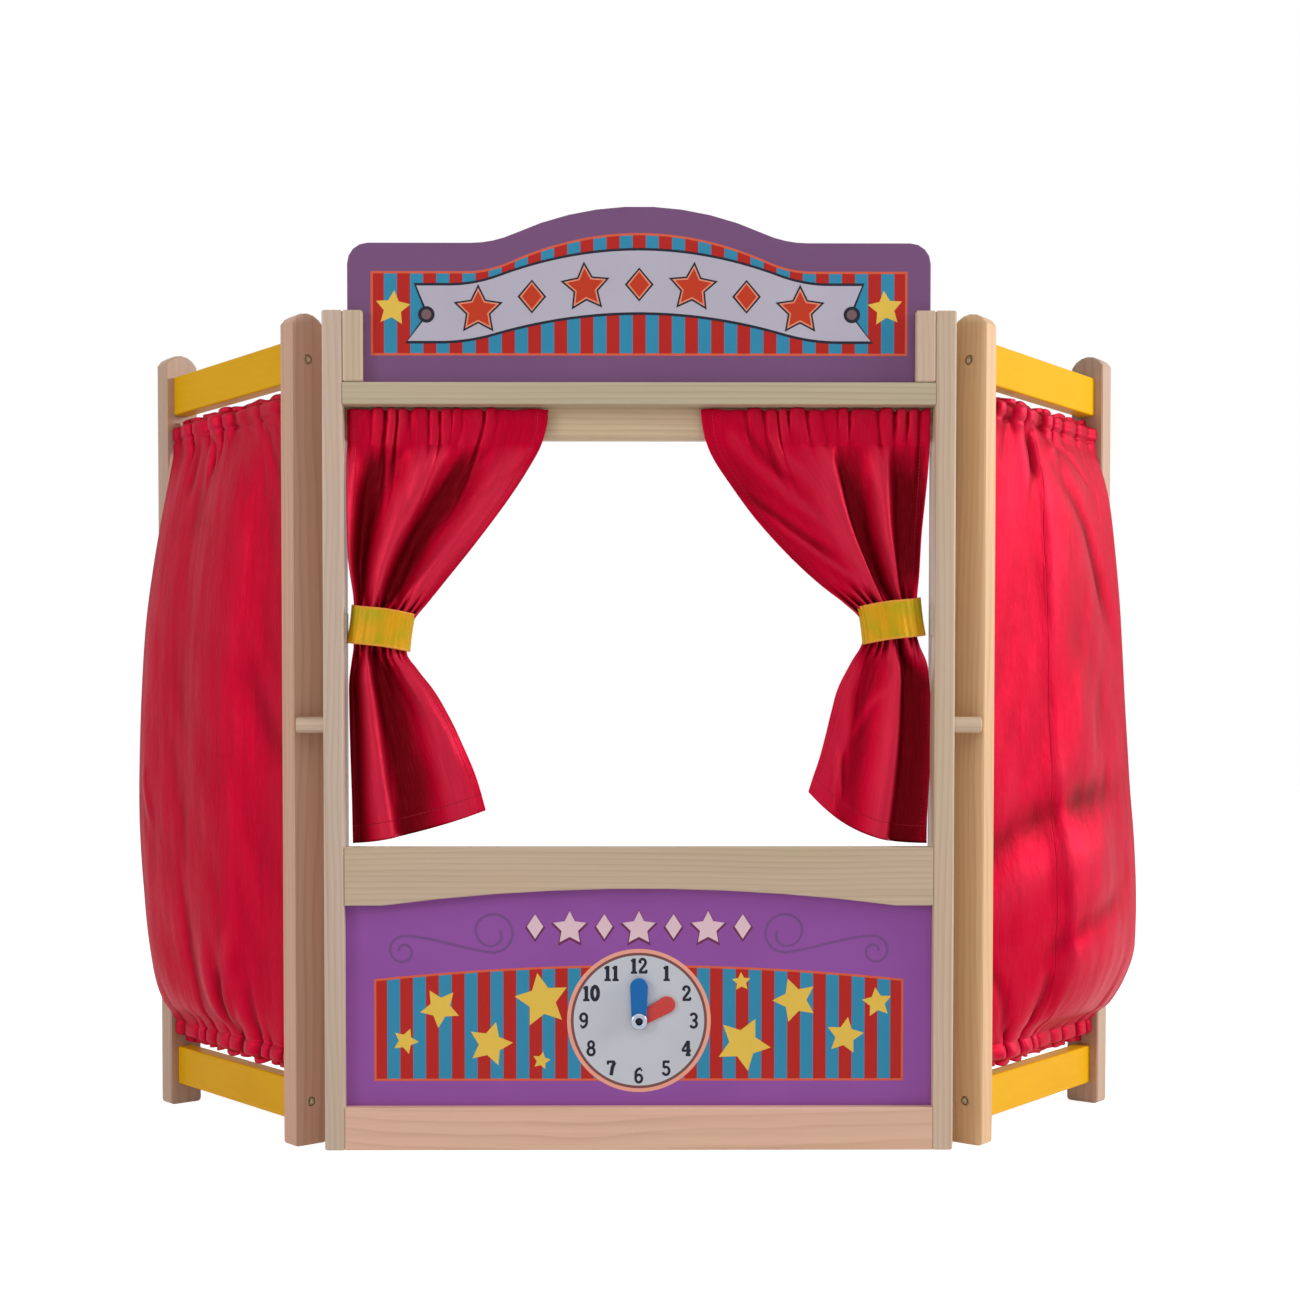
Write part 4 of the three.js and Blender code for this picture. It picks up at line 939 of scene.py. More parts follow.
    def rows(depth):
        push = layer * (1 - free) * (1 - ruffle)
        clear = (base + depth[:, None] * (wave + push) + wrinkle - middle) * layer
        clear = np.where(from_rod < bore, np.maximum(clear, rod_skin), clear)
        return np.stack(np.broadcast_arrays(along + lean, middle + clear * layer, z + scallop), -1)

    deepest = 5.2 - 2.4 * eased(from_rod[:, 0], 20, 90)
    depth = smoothed(fold_to_length(rows, flat, deepest), 5)
    shaped = even_columns(rows(depth), columns)
    return wing_points(side, shaped[..., 0], shaped[..., 1], shaped[..., 2])


def blurred_rows(height, reach):
    """Each row's rounded mean over so many columns to both sides."""
    padded = np.pad(height, ((0, 0), (reach, reach)), mode="reflect")
    return np.array([np.convolve(row, bell(reach), mode="valid") for row in padded])


# The satin reads this value as painted shade in the cloth's valleys and a painted highlight on its ridges
def fold_shade(points, outward, reach_mm, whole):
    """How far each point of a cloth lies behind the cloth beside it, 0 on a ridge and 1 in a deep
    valley: its place outward against a blurred one and, by the share whole, against the row's
    mean, over the reach. Narrow gathers are measured against a near blur, and slanting folds
    away from the cloth's ends against a blur down it, and both are added."""
    wide_blur, near_blur, down_blur = 24, 7, 10
    narrow_reach, slanting_reach = 5, 7
    height = points @ np.array(outward) / MM
    beside = blurred_rows(height, wide_blur) * (1 - whole) + height.mean(1, keepdims=True) * whole
    narrow = blurred_rows(height, near_blur) - height
    z = points[:, :1, 2]
    hanging = eased(np.minimum(z - z.min(), z.max() - z), 0.05, 0.09)
    slanting = (blurred_rows(height.T, down_blur).T - height) * hanging
    return np.clip(0.5 + (beside - height) / reach_mm + narrow / narrow_reach
                   + slanting / slanting_reach, 0, 1)


def sheet_piece(name, points, flat, material_for, thickness, outward, reach_mm, whole=0.0):
    """A sheet of cloth from a grid of points, with its flat UV map and the cloth's thickness.
    material_for makes its material from its drop, which is returned too."""
    grid, drop = cloth_uvs(points, flat)
    piece = make_piece(name, points, grid_faces(*points.shape[:2]), [material_for(drop)], uvs=grid)
    mark_points(piece, "fold_shade", fold_shade(points, outward, reach_mm, whole))
    return thicken(piece, thickness), drop


def tieback_surface(name, side):
    """A ribbon round the bunched curtain: an ellipse swept up its width, tilted down towards the
    stage, with a waist where it is pulled tight and small upright puckers."""
    half_span, half_depth, tightness = 25.6, 12.6, 0.5
    tilt = math.radians(8)
    inward = 4 if side > 0 else 0
    low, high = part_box(f"{name}_tieback")
    centre = [(low[axis] + high[axis]) / 2 / MM for axis in range(3)]
    centre_y = centre[1] - FRONT / MM
    around = np.linspace(0, 2 * math.pi, 221)[None, :-1]
    up = np.linspace(-RIBBON_WIDTH_MM / 2, RIBBON_WIDTH_MM / 2, 25)[:, None]
    waist = tightness * np.cos(math.pi * up / RIBBON_WIDTH_MM)
    pucker = 0.28 * np.sin(17 * around + 0.05 * up) * np.sin(5 * around + 1) + 0.16 * np.sin(29 * around)
    x = (half_span - waist + pucker) * np.cos(around) + 0 * up
    y = (half_depth - waist + pucker) * np.sin(around) + 0 * up
    z = up + 0.35 * np.sin(3 * around + 0.6)
    turned_x = x * math.cos(tilt) - z * math.sin(tilt)
    turned_z = z * math.cos(tilt) + x * math.sin(tilt)
    x = side * (abs(centre[0]) - inward + turned_x)
    return theatre_points(x, centre_y + y, centre[2] + turned_z), up


# Flat prints, in mm


class Print:
    """Thin closed shapes that stand on a flat front face, gathered into one mesh. Each layer
    stands a little higher than the one it lies on, and the backs of all lie inside the board."""

    BURIED = 0.02

    def __init__(self, face_y_mm, step_mm):
        self.face_y = face_y_mm
        self.base = face_y_mm + self.BURIED
        self.step = step_mm
        self.points = []
        self.faces = []
        self.inks = []
        self.count = 0

    def keep(self, points, faces, ink):
        """Adds a shape in one ink, which is an index of the piece's materials."""
        self.points.append(points)
        self.faces.extend([[corner + self.count for corner in face] for face in faces])
        self.inks.extend([ink] * len(faces))
        self.count += len(points)

    def shape(self, outline, layer, ink):
        """A filled outline of x and z, given anticlockwise as seen from the front."""
        count = len(outline)
        ys = np.repeat([self.face_y - self.step * layer, self.base], count)
        points = theatre_points(np.tile(outline[:, 0], 2), ys, np.tile(outline[:, 1], 2))
        ring = np.arange(count)
        after = (ring + 1) % count
        sides = np.stack([ring, ring + count, after + count, after], 1)
        faces = [ring.tolist(), (ring[::-1] + count).tolist(), *sides.tolist()]
        self.keep(points, faces, ink)

    def stroke(self, path, width, layer, ink, closed=False):
        """A line of that width, or widths, along a path of x and z: each point steps half the
        width to both sides along the path's normal."""
        ahead = np.roll(path, -1, 0) if closed else np.vstack([path[1:], 2 * path[-1] - path[-2]])
        behind = np.roll(path, 1, 0) if closed else np.vstack([2 * path[0] - path[1], path[:-1]])
        way = ahead - behind
        way /= np.linalg.norm(way, axis=1, keepdims=True)
        normal = np.stack([-way[:, 1], way[:, 0]], 1) * np.reshape(width, (-1, 1)) / 2
        top = self.face_y - self.step * layer
        left, right = path + normal, path - normal
        section = ((left, top), (left, self.base), (right, self.base), (right, top))
        corners = np.stack([theatre_points(edge[:, 0], y, edge[:, 1]) for edge, y in section], 1)
        rows = np.concatenate([corners, corners[:1]]) if closed else corners
        faces = grid_faces(len(rows), 4, round_columns=True)
        if closed:
            faces = faces % (4 * len(path))
            self.keep(corners.reshape(-1, 3), faces.tolist(), ink)
            return
        last = 4 * (len(path) - 1)
        caps = [[0, 1, 2, 3], [last + 3, last + 2, last + 1, last]]
        self.keep(corners.reshape(-1, 3), faces.tolist() + caps, ink)

    def piece(self, name, materials):
        """The whole print as one piece."""
        return make_piece(name, np.concatenate(self.points), self.faces, materials,
                          face_materials=self.inks, smooth=False)


def star(x, z, radius, turn=0.0):
    """A five-pointed star: ten corners at even angles whose radius alternates with its half."""
    angle = np.arange(10) * math.pi / 5 + math.pi / 2 + turn
    reach = np.where(np.arange(10) % 2 == 0, radius, radius / 2)
    return np.stack([x + reach * np.cos(angle), z + reach * np.sin(angle)], 1)


def diamond(x, z, half_width, half_height):
    """A diamond that stands on its point."""
    return np.array([(x, z + half_height), (x - half_width, z), (x, z - half_height),
                     (x + half_width, z)])


def circle(x, z, radius, steps=128):
    """A round outline."""
    angle = np.arange(steps) * 2 * math.pi / steps
    return np.stack([x + radius * np.cos(angle), z + radius * np.sin(angle)], 1)


def crown_bump(x, span, turn):
    """1 in the middle and 0 beyond the span, in two arcs that meet at turn."""
    crest = 1 / (turn * span)
    outer = crest * turn / (span - turn)
    away = np.abs(x)
    return np.where(away < turn, 1 - crest * away ** 2, outer * np.clip(span - away, 0, None) ** 2)


# Height of the banner's notches and of the eyelets beside them
EYELET_HEIGHT_MM = 672


def banner(grow):
    """Outline of the printed banner, anticlockwise and grown by so many mm: two crowned long
    edges and ends with a notch."""
    half_top, half_foot, half_notch, steps = 179.5 + grow, 186.5 + grow, 170 + grow, 121
    over = np.linspace(half_top, -half_top, steps)
    under = np.linspace(-half_foot, half_foot, steps)
    top = 696 + 28 * crown_bump(over, 152, 112) + grow
    bottom = 650 + 23 * crown_bump(under, 160, 116) - grow
    left = np.array([(-half_notch, EYELET_HEIGHT_MM)])
    right = np.array([(half_notch, EYELET_HEIGHT_MM)])
    return np.concatenate([np.stack([over, top], 1), left, np.stack([under, bottom], 1), right])


def arc_path(x, z, radius_x, radius_z, start, end, steps=20):
    """Points of an elliptical arc between two angles in degrees."""
    angle = np.radians(np.linspace(start, end, steps))
    return np.stack([x + radius_x * np.cos(angle), z + radius_z * np.sin(angle)], 1)


def line_path(*corners):
    """Points of a broken line."""
    return np.array(corners, float)


# Strokes of slab-serif digits in a cell 0.62 wide and 1 high: paths with their widths
BOLD, BALL, PLAIN, FINE, THIN = 0.23, 0.2, 0.17, 0.16, 0.15
DIGITS = {
    0: [(arc_path(0.31, 0.5, 0.2, 0.42, 0, 360, 40)[:-1], BOLD)],
    1: [(line_path((0.33, 0.04), (0.33, 0.96)), BOLD), (line_path((0.13, 0.06), (0.53, 0.06)), THIN),
        (line_path((0.33, 0.9), (0.14, 0.78)), THIN)],
    2: [(np.concatenate([arc_path(0.3, 0.7, 0.19, 0.22, 170, -20),
                         line_path((0.4, 0.5), (0.12, 0.14))]), PLAIN),
        (line_path((0.06, 0.08), (0.56, 0.08)), PLAIN), (line_path((0.54, 0.04), (0.54, 0.24)), THIN),
        (line_path((0.11, 0.66), (0.16, 0.76)), BALL)],
    3: [(arc_path(0.29, 0.72, 0.19, 0.21, 160, -80), PLAIN),
        (arc_path(0.29, 0.28, 0.2, 0.22, 80, -160), PLAIN),
        (line_path((0.22, 0.51), (0.34, 0.51)), THIN)],
    4: [(line_path((0.42, 0.96), (0.42, 0.05)), BOLD), (line_path((0.4, 0.94), (0.06, 0.36)), THIN),
        (line_path((0.02, 0.33), (0.6, 0.33)), THIN), (line_path((0.26, 0.05), (0.58, 0.05)), THIN)],
    5: [(line_path((0.13, 0.9), (0.52, 0.9)), PLAIN), (line_path((0.15, 0.95), (0.15, 0.52)), THIN),
        (arc_path(0.29, 0.32, 0.21, 0.25, 135, -160), PLAIN)],
    6: [(arc_path(0.31, 0.3, 0.2, 0.24, 0, 360, 36)[:-1], PLAIN),
        (np.concatenate([line_path((0.12, 0.32)), arc_path(0.42, 0.56, 0.31, 0.37, 165, 85)]), PLAIN),
        (line_path((0.43, 0.82), (0.52, 0.86)), FINE)],
    7: [(line_path((0.08, 0.9), (0.55, 0.9)), PLAIN), (line_path((0.1, 0.72), (0.1, 0.96)), THIN),
        (line_path((0.53, 0.88), (0.38, 0.52), (0.3, 0.04)), BOLD)],
    8: [(arc_path(0.31, 0.72, 0.17, 0.2, 0, 360, 36)[:-1], FINE),
        (arc_path(0.31, 0.28, 0.21, 0.23, 0, 360, 36)[:-1], PLAIN)],
    9: [(arc_path(0.31, 0.7, 0.2, 0.24, 0, 360, 36)[:-1], PLAIN),
        (np.concatenate([line_path((0.5, 0.68)), arc_path(0.2, 0.44, 0.31, 0.37, -15, -95)]), PLAIN),
        (line_path((0.19, 0.18), (0.1, 0.14)), FINE)],
}


def print_number(page, number, x, z, height, layer, ink):
    """A number centred on a place, its digits side by side, each stroke a hair above the last."""
    full_width, narrow_width, hair = 0.64, 0.5, 0.12
    digits = [int(digit) for digit in str(number)]
    widths = [narrow_width if digit == 1 else full_width for digit in digits]
    start = x - sum(widths) * height / 2
    for digit, width in zip(digits, widths):
        inset = (width - full_width) / 2
        for order, (path, stroke_width) in enumerate(DIGITS[digit]):
            # A nought and both rings of an eight are closed, and so are the bowls of 6 and 9
            closed = digit in (0, 8) or (digit in (6, 9) and order == 0)
            across = start + (path[:, 0] + inset) * height
            placed = np.stack([across, z + (path[:, 1] - 0.5) * height], 1)
            page.stroke(placed, stroke_width * height, layer + order * hair, ink, closed=closed)
        start += width * height


def scroll(side):
    """A flourish: a small coil that unwinds over its top, an S-shaped line and a larger coil that
    winds up from its foot. pull is how strongly the coils' ends lead the line between them."""
    small_x, small_z, large_x, large_z, pull = -190.7, 160.5, -117.8, 175, 60
    small = np.radians(np.linspace(540, 80, 60))
    reach = np.linspace(3.2, 12.4, 60)
    first = np.stack([small_x + reach * np.cos(small), small_z + reach * np.sin(small)], 1)
    large = np.radians(np.linspace(-100, 380, 70))
    shrink = np.interp(np.degrees(large), [-100, 150, 380], [15.6, 15.2, 5.5])
    last = np.stack([large_x + shrink * np.cos(large), large_z + shrink * np.sin(large)], 1)
    t = np.linspace(0, 1, 40)[1:-1, None]
    leave = (first[-1] - first[-2]) / np.linalg.norm(first[-1] - first[-2]) * pull
    arrive = (last[1] - last[0]) / np.linalg.norm(last[1] - last[0]) * pull
    link = ((1 + 2 * t) * (1 - t) ** 2 * first[-1] + t * (1 - t) ** 2 * leave
            + t ** 2 * (3 - 2 * t) * last[0] + t ** 2 * (t - 1) * arrive)
    path = np.concatenate([first, link, last])
    return path * (-side, 1)


# Turned fittings


def turned_fitting(profile, segments, hexed=None):
    """A turned piece: radius and height pairs swept round the height axis, with one point at each
    end on the axis. hexed gives each ring's share of a hexagon, for a recess. Returns points with
    the height last, and faces."""
    profile = np.array(profile, float)
    angle = np.arange(segments) * 2 * math.pi / segments
    hexed = np.zeros(len(profile)) if hexed is None else np.array(hexed, float)
    corner = 1 / np.cos((angle + math.pi / 6) % (math.pi / 3) - math.pi / 6)
    rings = profile[1:-1]
    radius = rings[:, :1] * (1 + hexed[1:-1, None] * (corner[None, :] - 1))
    body = np.stack([radius * np.cos(angle), radius * np.sin(angle), rings[:, 1:] + 0 * angle], -1)
    points = np.concatenate([[(0, 0, profile[0, 1])], body.reshape(-1, 3), [(0, 0, profile[-1, 1])]])
    faces = (grid_faces(len(rings), segments, round_columns=True) + 1)[:, ::-1].tolist()
    ring = np.arange(segments)
    after = (ring + 1) % segments
    first = np.stack([0 * ring, after + 1, ring + 1], 1).tolist()
    final = len(points) - 1
    start = 1 + (len(rings) - 1) * segments
    last = np.stack([0 * ring + final, ring + start, after + start], 1).tolist()
    return points, first + faces + last


def placed_fittings(name, shape, places, material):
    """Copies of one shape in one mesh. Each place is an origin and the directions of the shape's
    three axes, all in metres."""
    points, faces = shape
    every_point = np.concatenate([np.array(origin) + points @ np.array(axes) for origin, axes in places])
    every_face = [[corner + len(points) * copy for corner in face]
                  for copy in range(len(places)) for face in faces]
    return make_piece(name, every_point, every_face, [material])


def wing_axes(side, forwards):
    """Axes of a fitting whose height runs along the wing, forwards (1) or back to the pin (-1)."""
    along = np.array([side * math.cos(WING_ANGLE), math.sin(WING_ANGLE), 0]) * forwards
    up = np.array([0, 0, 1.0])
    return np.cross(up, along), up, along


def refinish(node, material):
    """Gives a CAD node one material."""
    mesh = frame["nodes"][node].data
    mesh.materials.clear()
    mesh.materials.append(material)


# Operators: one for each piece or group of like pieces


class THEATRE_OT_wood(bpy.types.Operator):
    """Finish the posts, rails, cleats, stiles, rods and pegs in lacquered pine"""

    bl_idname = "puppet_theatre.wood"
    bl_label = "Pine frame"

    # How much redder, greener and bluer each board is than the rest: the wood's own tone, and on
    # the wings' stiles also painted shade that makes them darker
    TONES = {
        "bottom_rail": (1.2, 1.02, 1.0), "front_top_rail": (0.83, 0.93, 0.85),
        "stage_rail": (0.92, 0.95, 0.9), "back_top_rail": (1.14, 1.16, 1.02),
        "left_post": (0.95, 0.98, 1.04), "right_post": (1.0, 1.0, 0.98),
        "left_wing_front_stile": (0.96, 0.76, 0.7), "right_wing_front_stile": (1.06, 0.92, 0.64),
        "left_wing_back_stile": (0.78, 0.68, 0.64), "right_wing_back_stile": (0.8, 0.7, 0.66),
    }

    def execute(self, context):
        upright = ["left_post", "right_post"]
        level = ["front_top_rail", "bottom_rail", "stage_rail", "back_top_rail"]
        for name, _ in SIDES:
            upright += [f"{name}_wing_front_stile", f"{name}_wing_back_stile"]
            upright += [f"{name}_front_cleat", f"{name}_rear_cleat"]
            level += [f"{name}_stop_peg", f"{name}_wing_top_rod", f"{name}_wing_bottom_rod"]
        for nodes, along, first_seed in ((upright, 2, 40), (level, 0, 80)):
            for seed, node in enumerate(nodes, first_seed):
                refinish(node, pine(f"pine_{node}", along, seed, self.TONES.get(node, (1, 1, 1))))
        return {"FINISHED"}


class THEATRE_OT_paint(bpy.types.Operator):
    """Paint the wings' rails yellow and the clock's hands blue and red"""

    bl_idname = "puppet_theatre.paint"
    bl_label = "Painted rails and hands"

    def execute(self, context):
        colours = context.scene.theatre_colours
        for name, _ in SIDES:
            for seed, rail in enumerate(("top", "bottom")):
                finish = satin_paint(f"yellow_{name}_{rail}", tuple(colours.yellow), 3 + seed, 0.86)
                refinish(f"{name}_wing_{rail}_rail", finish)
        refinish("minute_hand", satin_paint("minute_hand_blue", tuple(colours.minute_blue), 11, 0.8, 0.3))
        refinish("hour_hand", satin_paint("hour_hand_red", tuple(colours.hour_red), 12, 0.8, 0.3))
        return {"FINISHED"}


class THEATRE_OT_boards(bpy.types.Operator):
    """Paint the header board and the lower board purple with their striped panels"""

    bl_idname = "puppet_theatre.boards"
    bl_label = "Striped boards"

    PANELS = {
        "header": {"half": 0.215, "bottom": 0.6395, "top": 0.7064, "rise": 0.0305, "span": 0.139,
                   "turn": 0.103},
        "lower": {"half": 0.2142, "bottom": 0.0551, "top": 0.1335, "rise": 0.0155, "span": 0.26,
                  "turn": 0.24},
    }

    def execute(self, context):
        colours = context.scene.theatre_colours
        for name, paint, seed in (("header", colours.header_purple, 5), ("lower", colours.lower_purple, 9)):
            low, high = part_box(f"{name}_board")
            middle_y = (low.y + high.y) / 2
            finish = striped_board(f"{name}_print_paint", paint, middle_y, self.PANELS[name], seed)
            refinish(f"{name}_board", finish)
        return {"FINISHED"}


class THEATRE_OT_header_print(bpy.types.Operator):
    """Print the header board's banner with its row of stars, and the two yellow stars"""

    bl_idname = "puppet_theatre.header_print"
    bl_label = "Header print"

    def execute(self, context):
        colours = context.scene.theatre_colours
        face = (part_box("header_board")[0].y - FRONT) / MM
        page = Print(face, context.scene.theatre_sizes.print_thickness / MM)
        dark, paper, red, edge, yellow, brown = range(6)
        page.shape(banner(1.1), 1, dark)
        page.shape(banner(-1.0), 2, paper)
        # A diamond in the middle and three motifs to each side, of which the outermost don't lean
        pitch, leaning_within = 43, 120
        for x in np.linspace(-3 * pitch, 3 * pitch, 7):
            z = 673 + 23 * crown_bump(x, 154, 114)
            tilt = -math.radians(0.09 * x) * (abs(x) < leaning_within)
            for layer, (grow, ink) in enumerate(((3.0, dark), (1.1, edge), (-0.6, red)), 3):
                if round(x / pitch) % 2 == 0:
                    page.shape(diamond(x, z, 8.5 + grow, 10.5 + grow), layer, ink)
                else:
                    page.shape(star(x, z, 16 + 1.6 * grow, tilt), layer, ink)
        for side in (-1, 1):
            page.shape(circle(side * 170.5, EYELET_HEIGHT_MM, 6.6, 48), 3, dark)
            page.shape(circle(side * 170.5, EYELET_HEIGHT_MM, 4.0, 48), 4, brown)
            page.shape(star(side * 197.5, 677, 14.5, 0.1 * side), 1, yellow)
        inks = [("ink_dark", colours.ink), ("banner_ink", colours.banner),
                ("motif_red", srgb(202, 58, 26)), ("motif_edge", srgb(240, 150, 120)),
                ("star_yellow", colours.star), ("eyelet_brown", srgb(120, 92, 96))]
        materials = [printed_ink(name, tuple(hue), seed) for seed, (name, hue) in enumerate(inks)]
        piece = page.piece("header_print", materials)
        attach(piece, "header")
        return {"FINISHED"}


class THEATRE_OT_lower_print(bpy.types.Operator):
    """Print the lower board's stars and scrolls and the clock's dial"""

    bl_idname = "puppet_theatre.lower_print"
    bl_label = "Lower print and dial"

    # Place, radius and turn of each yellow star
    STARS = ((-189, 87.5, 10.8, -0.37), (-161, 114.5, 16.5, 0.54), (-120.5, 85, 18.5, -0.26),
             (-78.5, 120.5, 22.5, 0.17), (-79, 71.5, 7.5, -0.21), (83, 135.5, 7.8, 0.05),
             (126.5, 120.5, 18.5, 0.33), (84.5, 85, 22.5, -0.45), (167, 91.5, 15.5, -0.16),
             (193, 118.5, 12.5, 0.13))

    def execute(self, context):
        colours = context.scene.theatre_colours
        yellow, grey, ring, ink, dial, pink, shade, line = range(8)
        centre_z = middle_height("clock_pivot") / MM
        face = (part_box("lower_board")[0].y - FRONT) / MM
        page = Print(face, context.scene.theatre_sizes.print_thickness / MM / 2)
        for x, z, radius, turn in self.STARS:
            page.shape(star(x, z, radius, turn), 1, yellow)
        for side in (-1, 1):
            page.stroke(scroll(-side), 2.1, 1, grey)
        pitch = 28
        for x in np.linspace(-3 * pitch, 3 * pitch, 7):
            if round(x / pitch) % 2 != 0:
                page.shape(diamond(x, 179.4, 8.2, 11.6), 1, shade)
                page.shape(diamond(x, 180.4, 6.6, 10.0), 2, pink)
            else:
                page.shape(star(x, 177.8, 16.2), 1, shade)
                page.shape(star(x, 179, 14), 2, pink)
        for layer, (radius, hue) in enumerate(((58.2, ring), (55.1, line), (52.9, dial)), 1):
            page.shape(circle(0, centre_z, radius), layer, hue)
        number_reach, number_height = 44.6, 12.8
        for number in range(1, 13):
            angle = number * math.pi / 6
            x, z = number_reach * math.sin(angle), centre_z + number_reach * math.cos(angle)
            print_number(page, number, x, z, number_height, 4, ink)
        inks = [("star_yellow_low", colours.star), ("scroll_grey", srgb(124, 78, 140)),
                ("dial_ring", colours.dial_ring), ("dial_ink", colours.ink), ("dial_face", colours.dial),
                ("pink_motif", srgb(238, 204, 214)), ("pink_shade", srgb(112, 44, 84)),
                ("dial_line", srgb(126, 78, 74))]
        materials = [printed_ink(name, tuple(hue), seed) for seed, (name, hue) in enumerate(inks, 20)]
        piece = page.piece("lower_print", materials)
        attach(piece, "centre_frame")
        return {"FINISHED"}


class THEATRE_OT_stage_curtains(bpy.types.Operator):
    """Hang the two tied-back satin curtains in the stage opening"""

    bl_idname = "puppet_theatre.stage_curtains"
    bl_label = "Stage curtains"

    def execute(self, context):
        sizes = context.scene.theatre_sizes
        hue = tuple(context.scene.theatre_colours.satin)
        flats = (sizes.left_stage_cloth, sizes.right_stage_cloth)
        for (name, side), seed, flat in zip(SIDES, (21, 64), flats):
            points = stage_cloth_surface(name, side, seed, flat / MM)

            def material_for(drop, name=name, flat=flat):
                return satin(f"{name}_stage_satin", hue, (), flat, drop)

            piece, drop = sheet_piece(f"{name}_stage_drape", points, flat, material_for,
                                      sizes.cloth_thickness, (0, -1, 0), reach_mm=10, whole=0.7)
            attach(piece, "centre_frame")
            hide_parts(f"{name}_stage_curtain")
        return {"FINISHED"}


class THEATRE_OT_wing_curtains(bpy.types.Operator):
    """Gather a satin curtain on the two rods of each wing"""

    bl_idname = "puppet_theatre.wing_curtains"
    bl_label = "Wing curtains"

    def execute(self, context):
        sizes = context.scene.theatre_sizes
        hue = tuple(context.scene.theatre_colours.satin)
        flat = sizes.wing_cloth_flat
        for (name, side), seed in zip(SIDES, (7, 33)):
            points = wing_cloth_surface(name, side, seed, flat / MM)

            def material_for(drop, name=name):
                seam = tuple(flat * share_of_width for share_of_width in WING_CLOTH[name]["seam"])
                return satin(f"{name}_wing_satin", hue, (seam,), flat, drop)

            outward = (side * math.sin(WING_ANGLE), -math.cos(WING_ANGLE), 0)
            piece, drop = sheet_piece(f"{name}_wing_drape", points, flat, material_for,
                                      sizes.cloth_thickness, outward, reach_mm=8)
            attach(piece, f"{name}_wing")
            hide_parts(f"{name}_wing_curtain")
        return {"FINISHED"}


class THEATRE_OT_tiebacks(bpy.types.Operator):
    """Wrap a yellow ribbon round each tied-back curtain"""

    bl_idname = "puppet_theatre.tiebacks"
    bl_label = "Tie-backs"

    def execute(self, context):
        thickness = context.scene.theatre_sizes.ribbon_thickness
        finish = ribbon_satin("tieback_satin")
        for name, side in SIDES:
            points, up = tieback_surface(name, side)
            closed = np.concatenate([points, points[:, :1]], 1)
            rows, columns = points.shape[:2]
            steps = np.linalg.norm(np.diff(closed, axis=1), axis=2).mean(0)
            along = np.concatenate([[0], np.cumsum(steps)])[:-1]
            grid = np.stack(np.meshgrid(along, (up[:, 0] + RIBBON_WIDTH_MM / 2) * MM), -1)
            piece = make_piece(f"{name}_ribbon_band", points,
                               grid_faces(rows, columns, round_columns=True), [finish], uvs=grid)
            thicken(piece, thickness)
            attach(piece, "centre_frame")
            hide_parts(f"{name}_tieback")
        return {"FINISHED"}


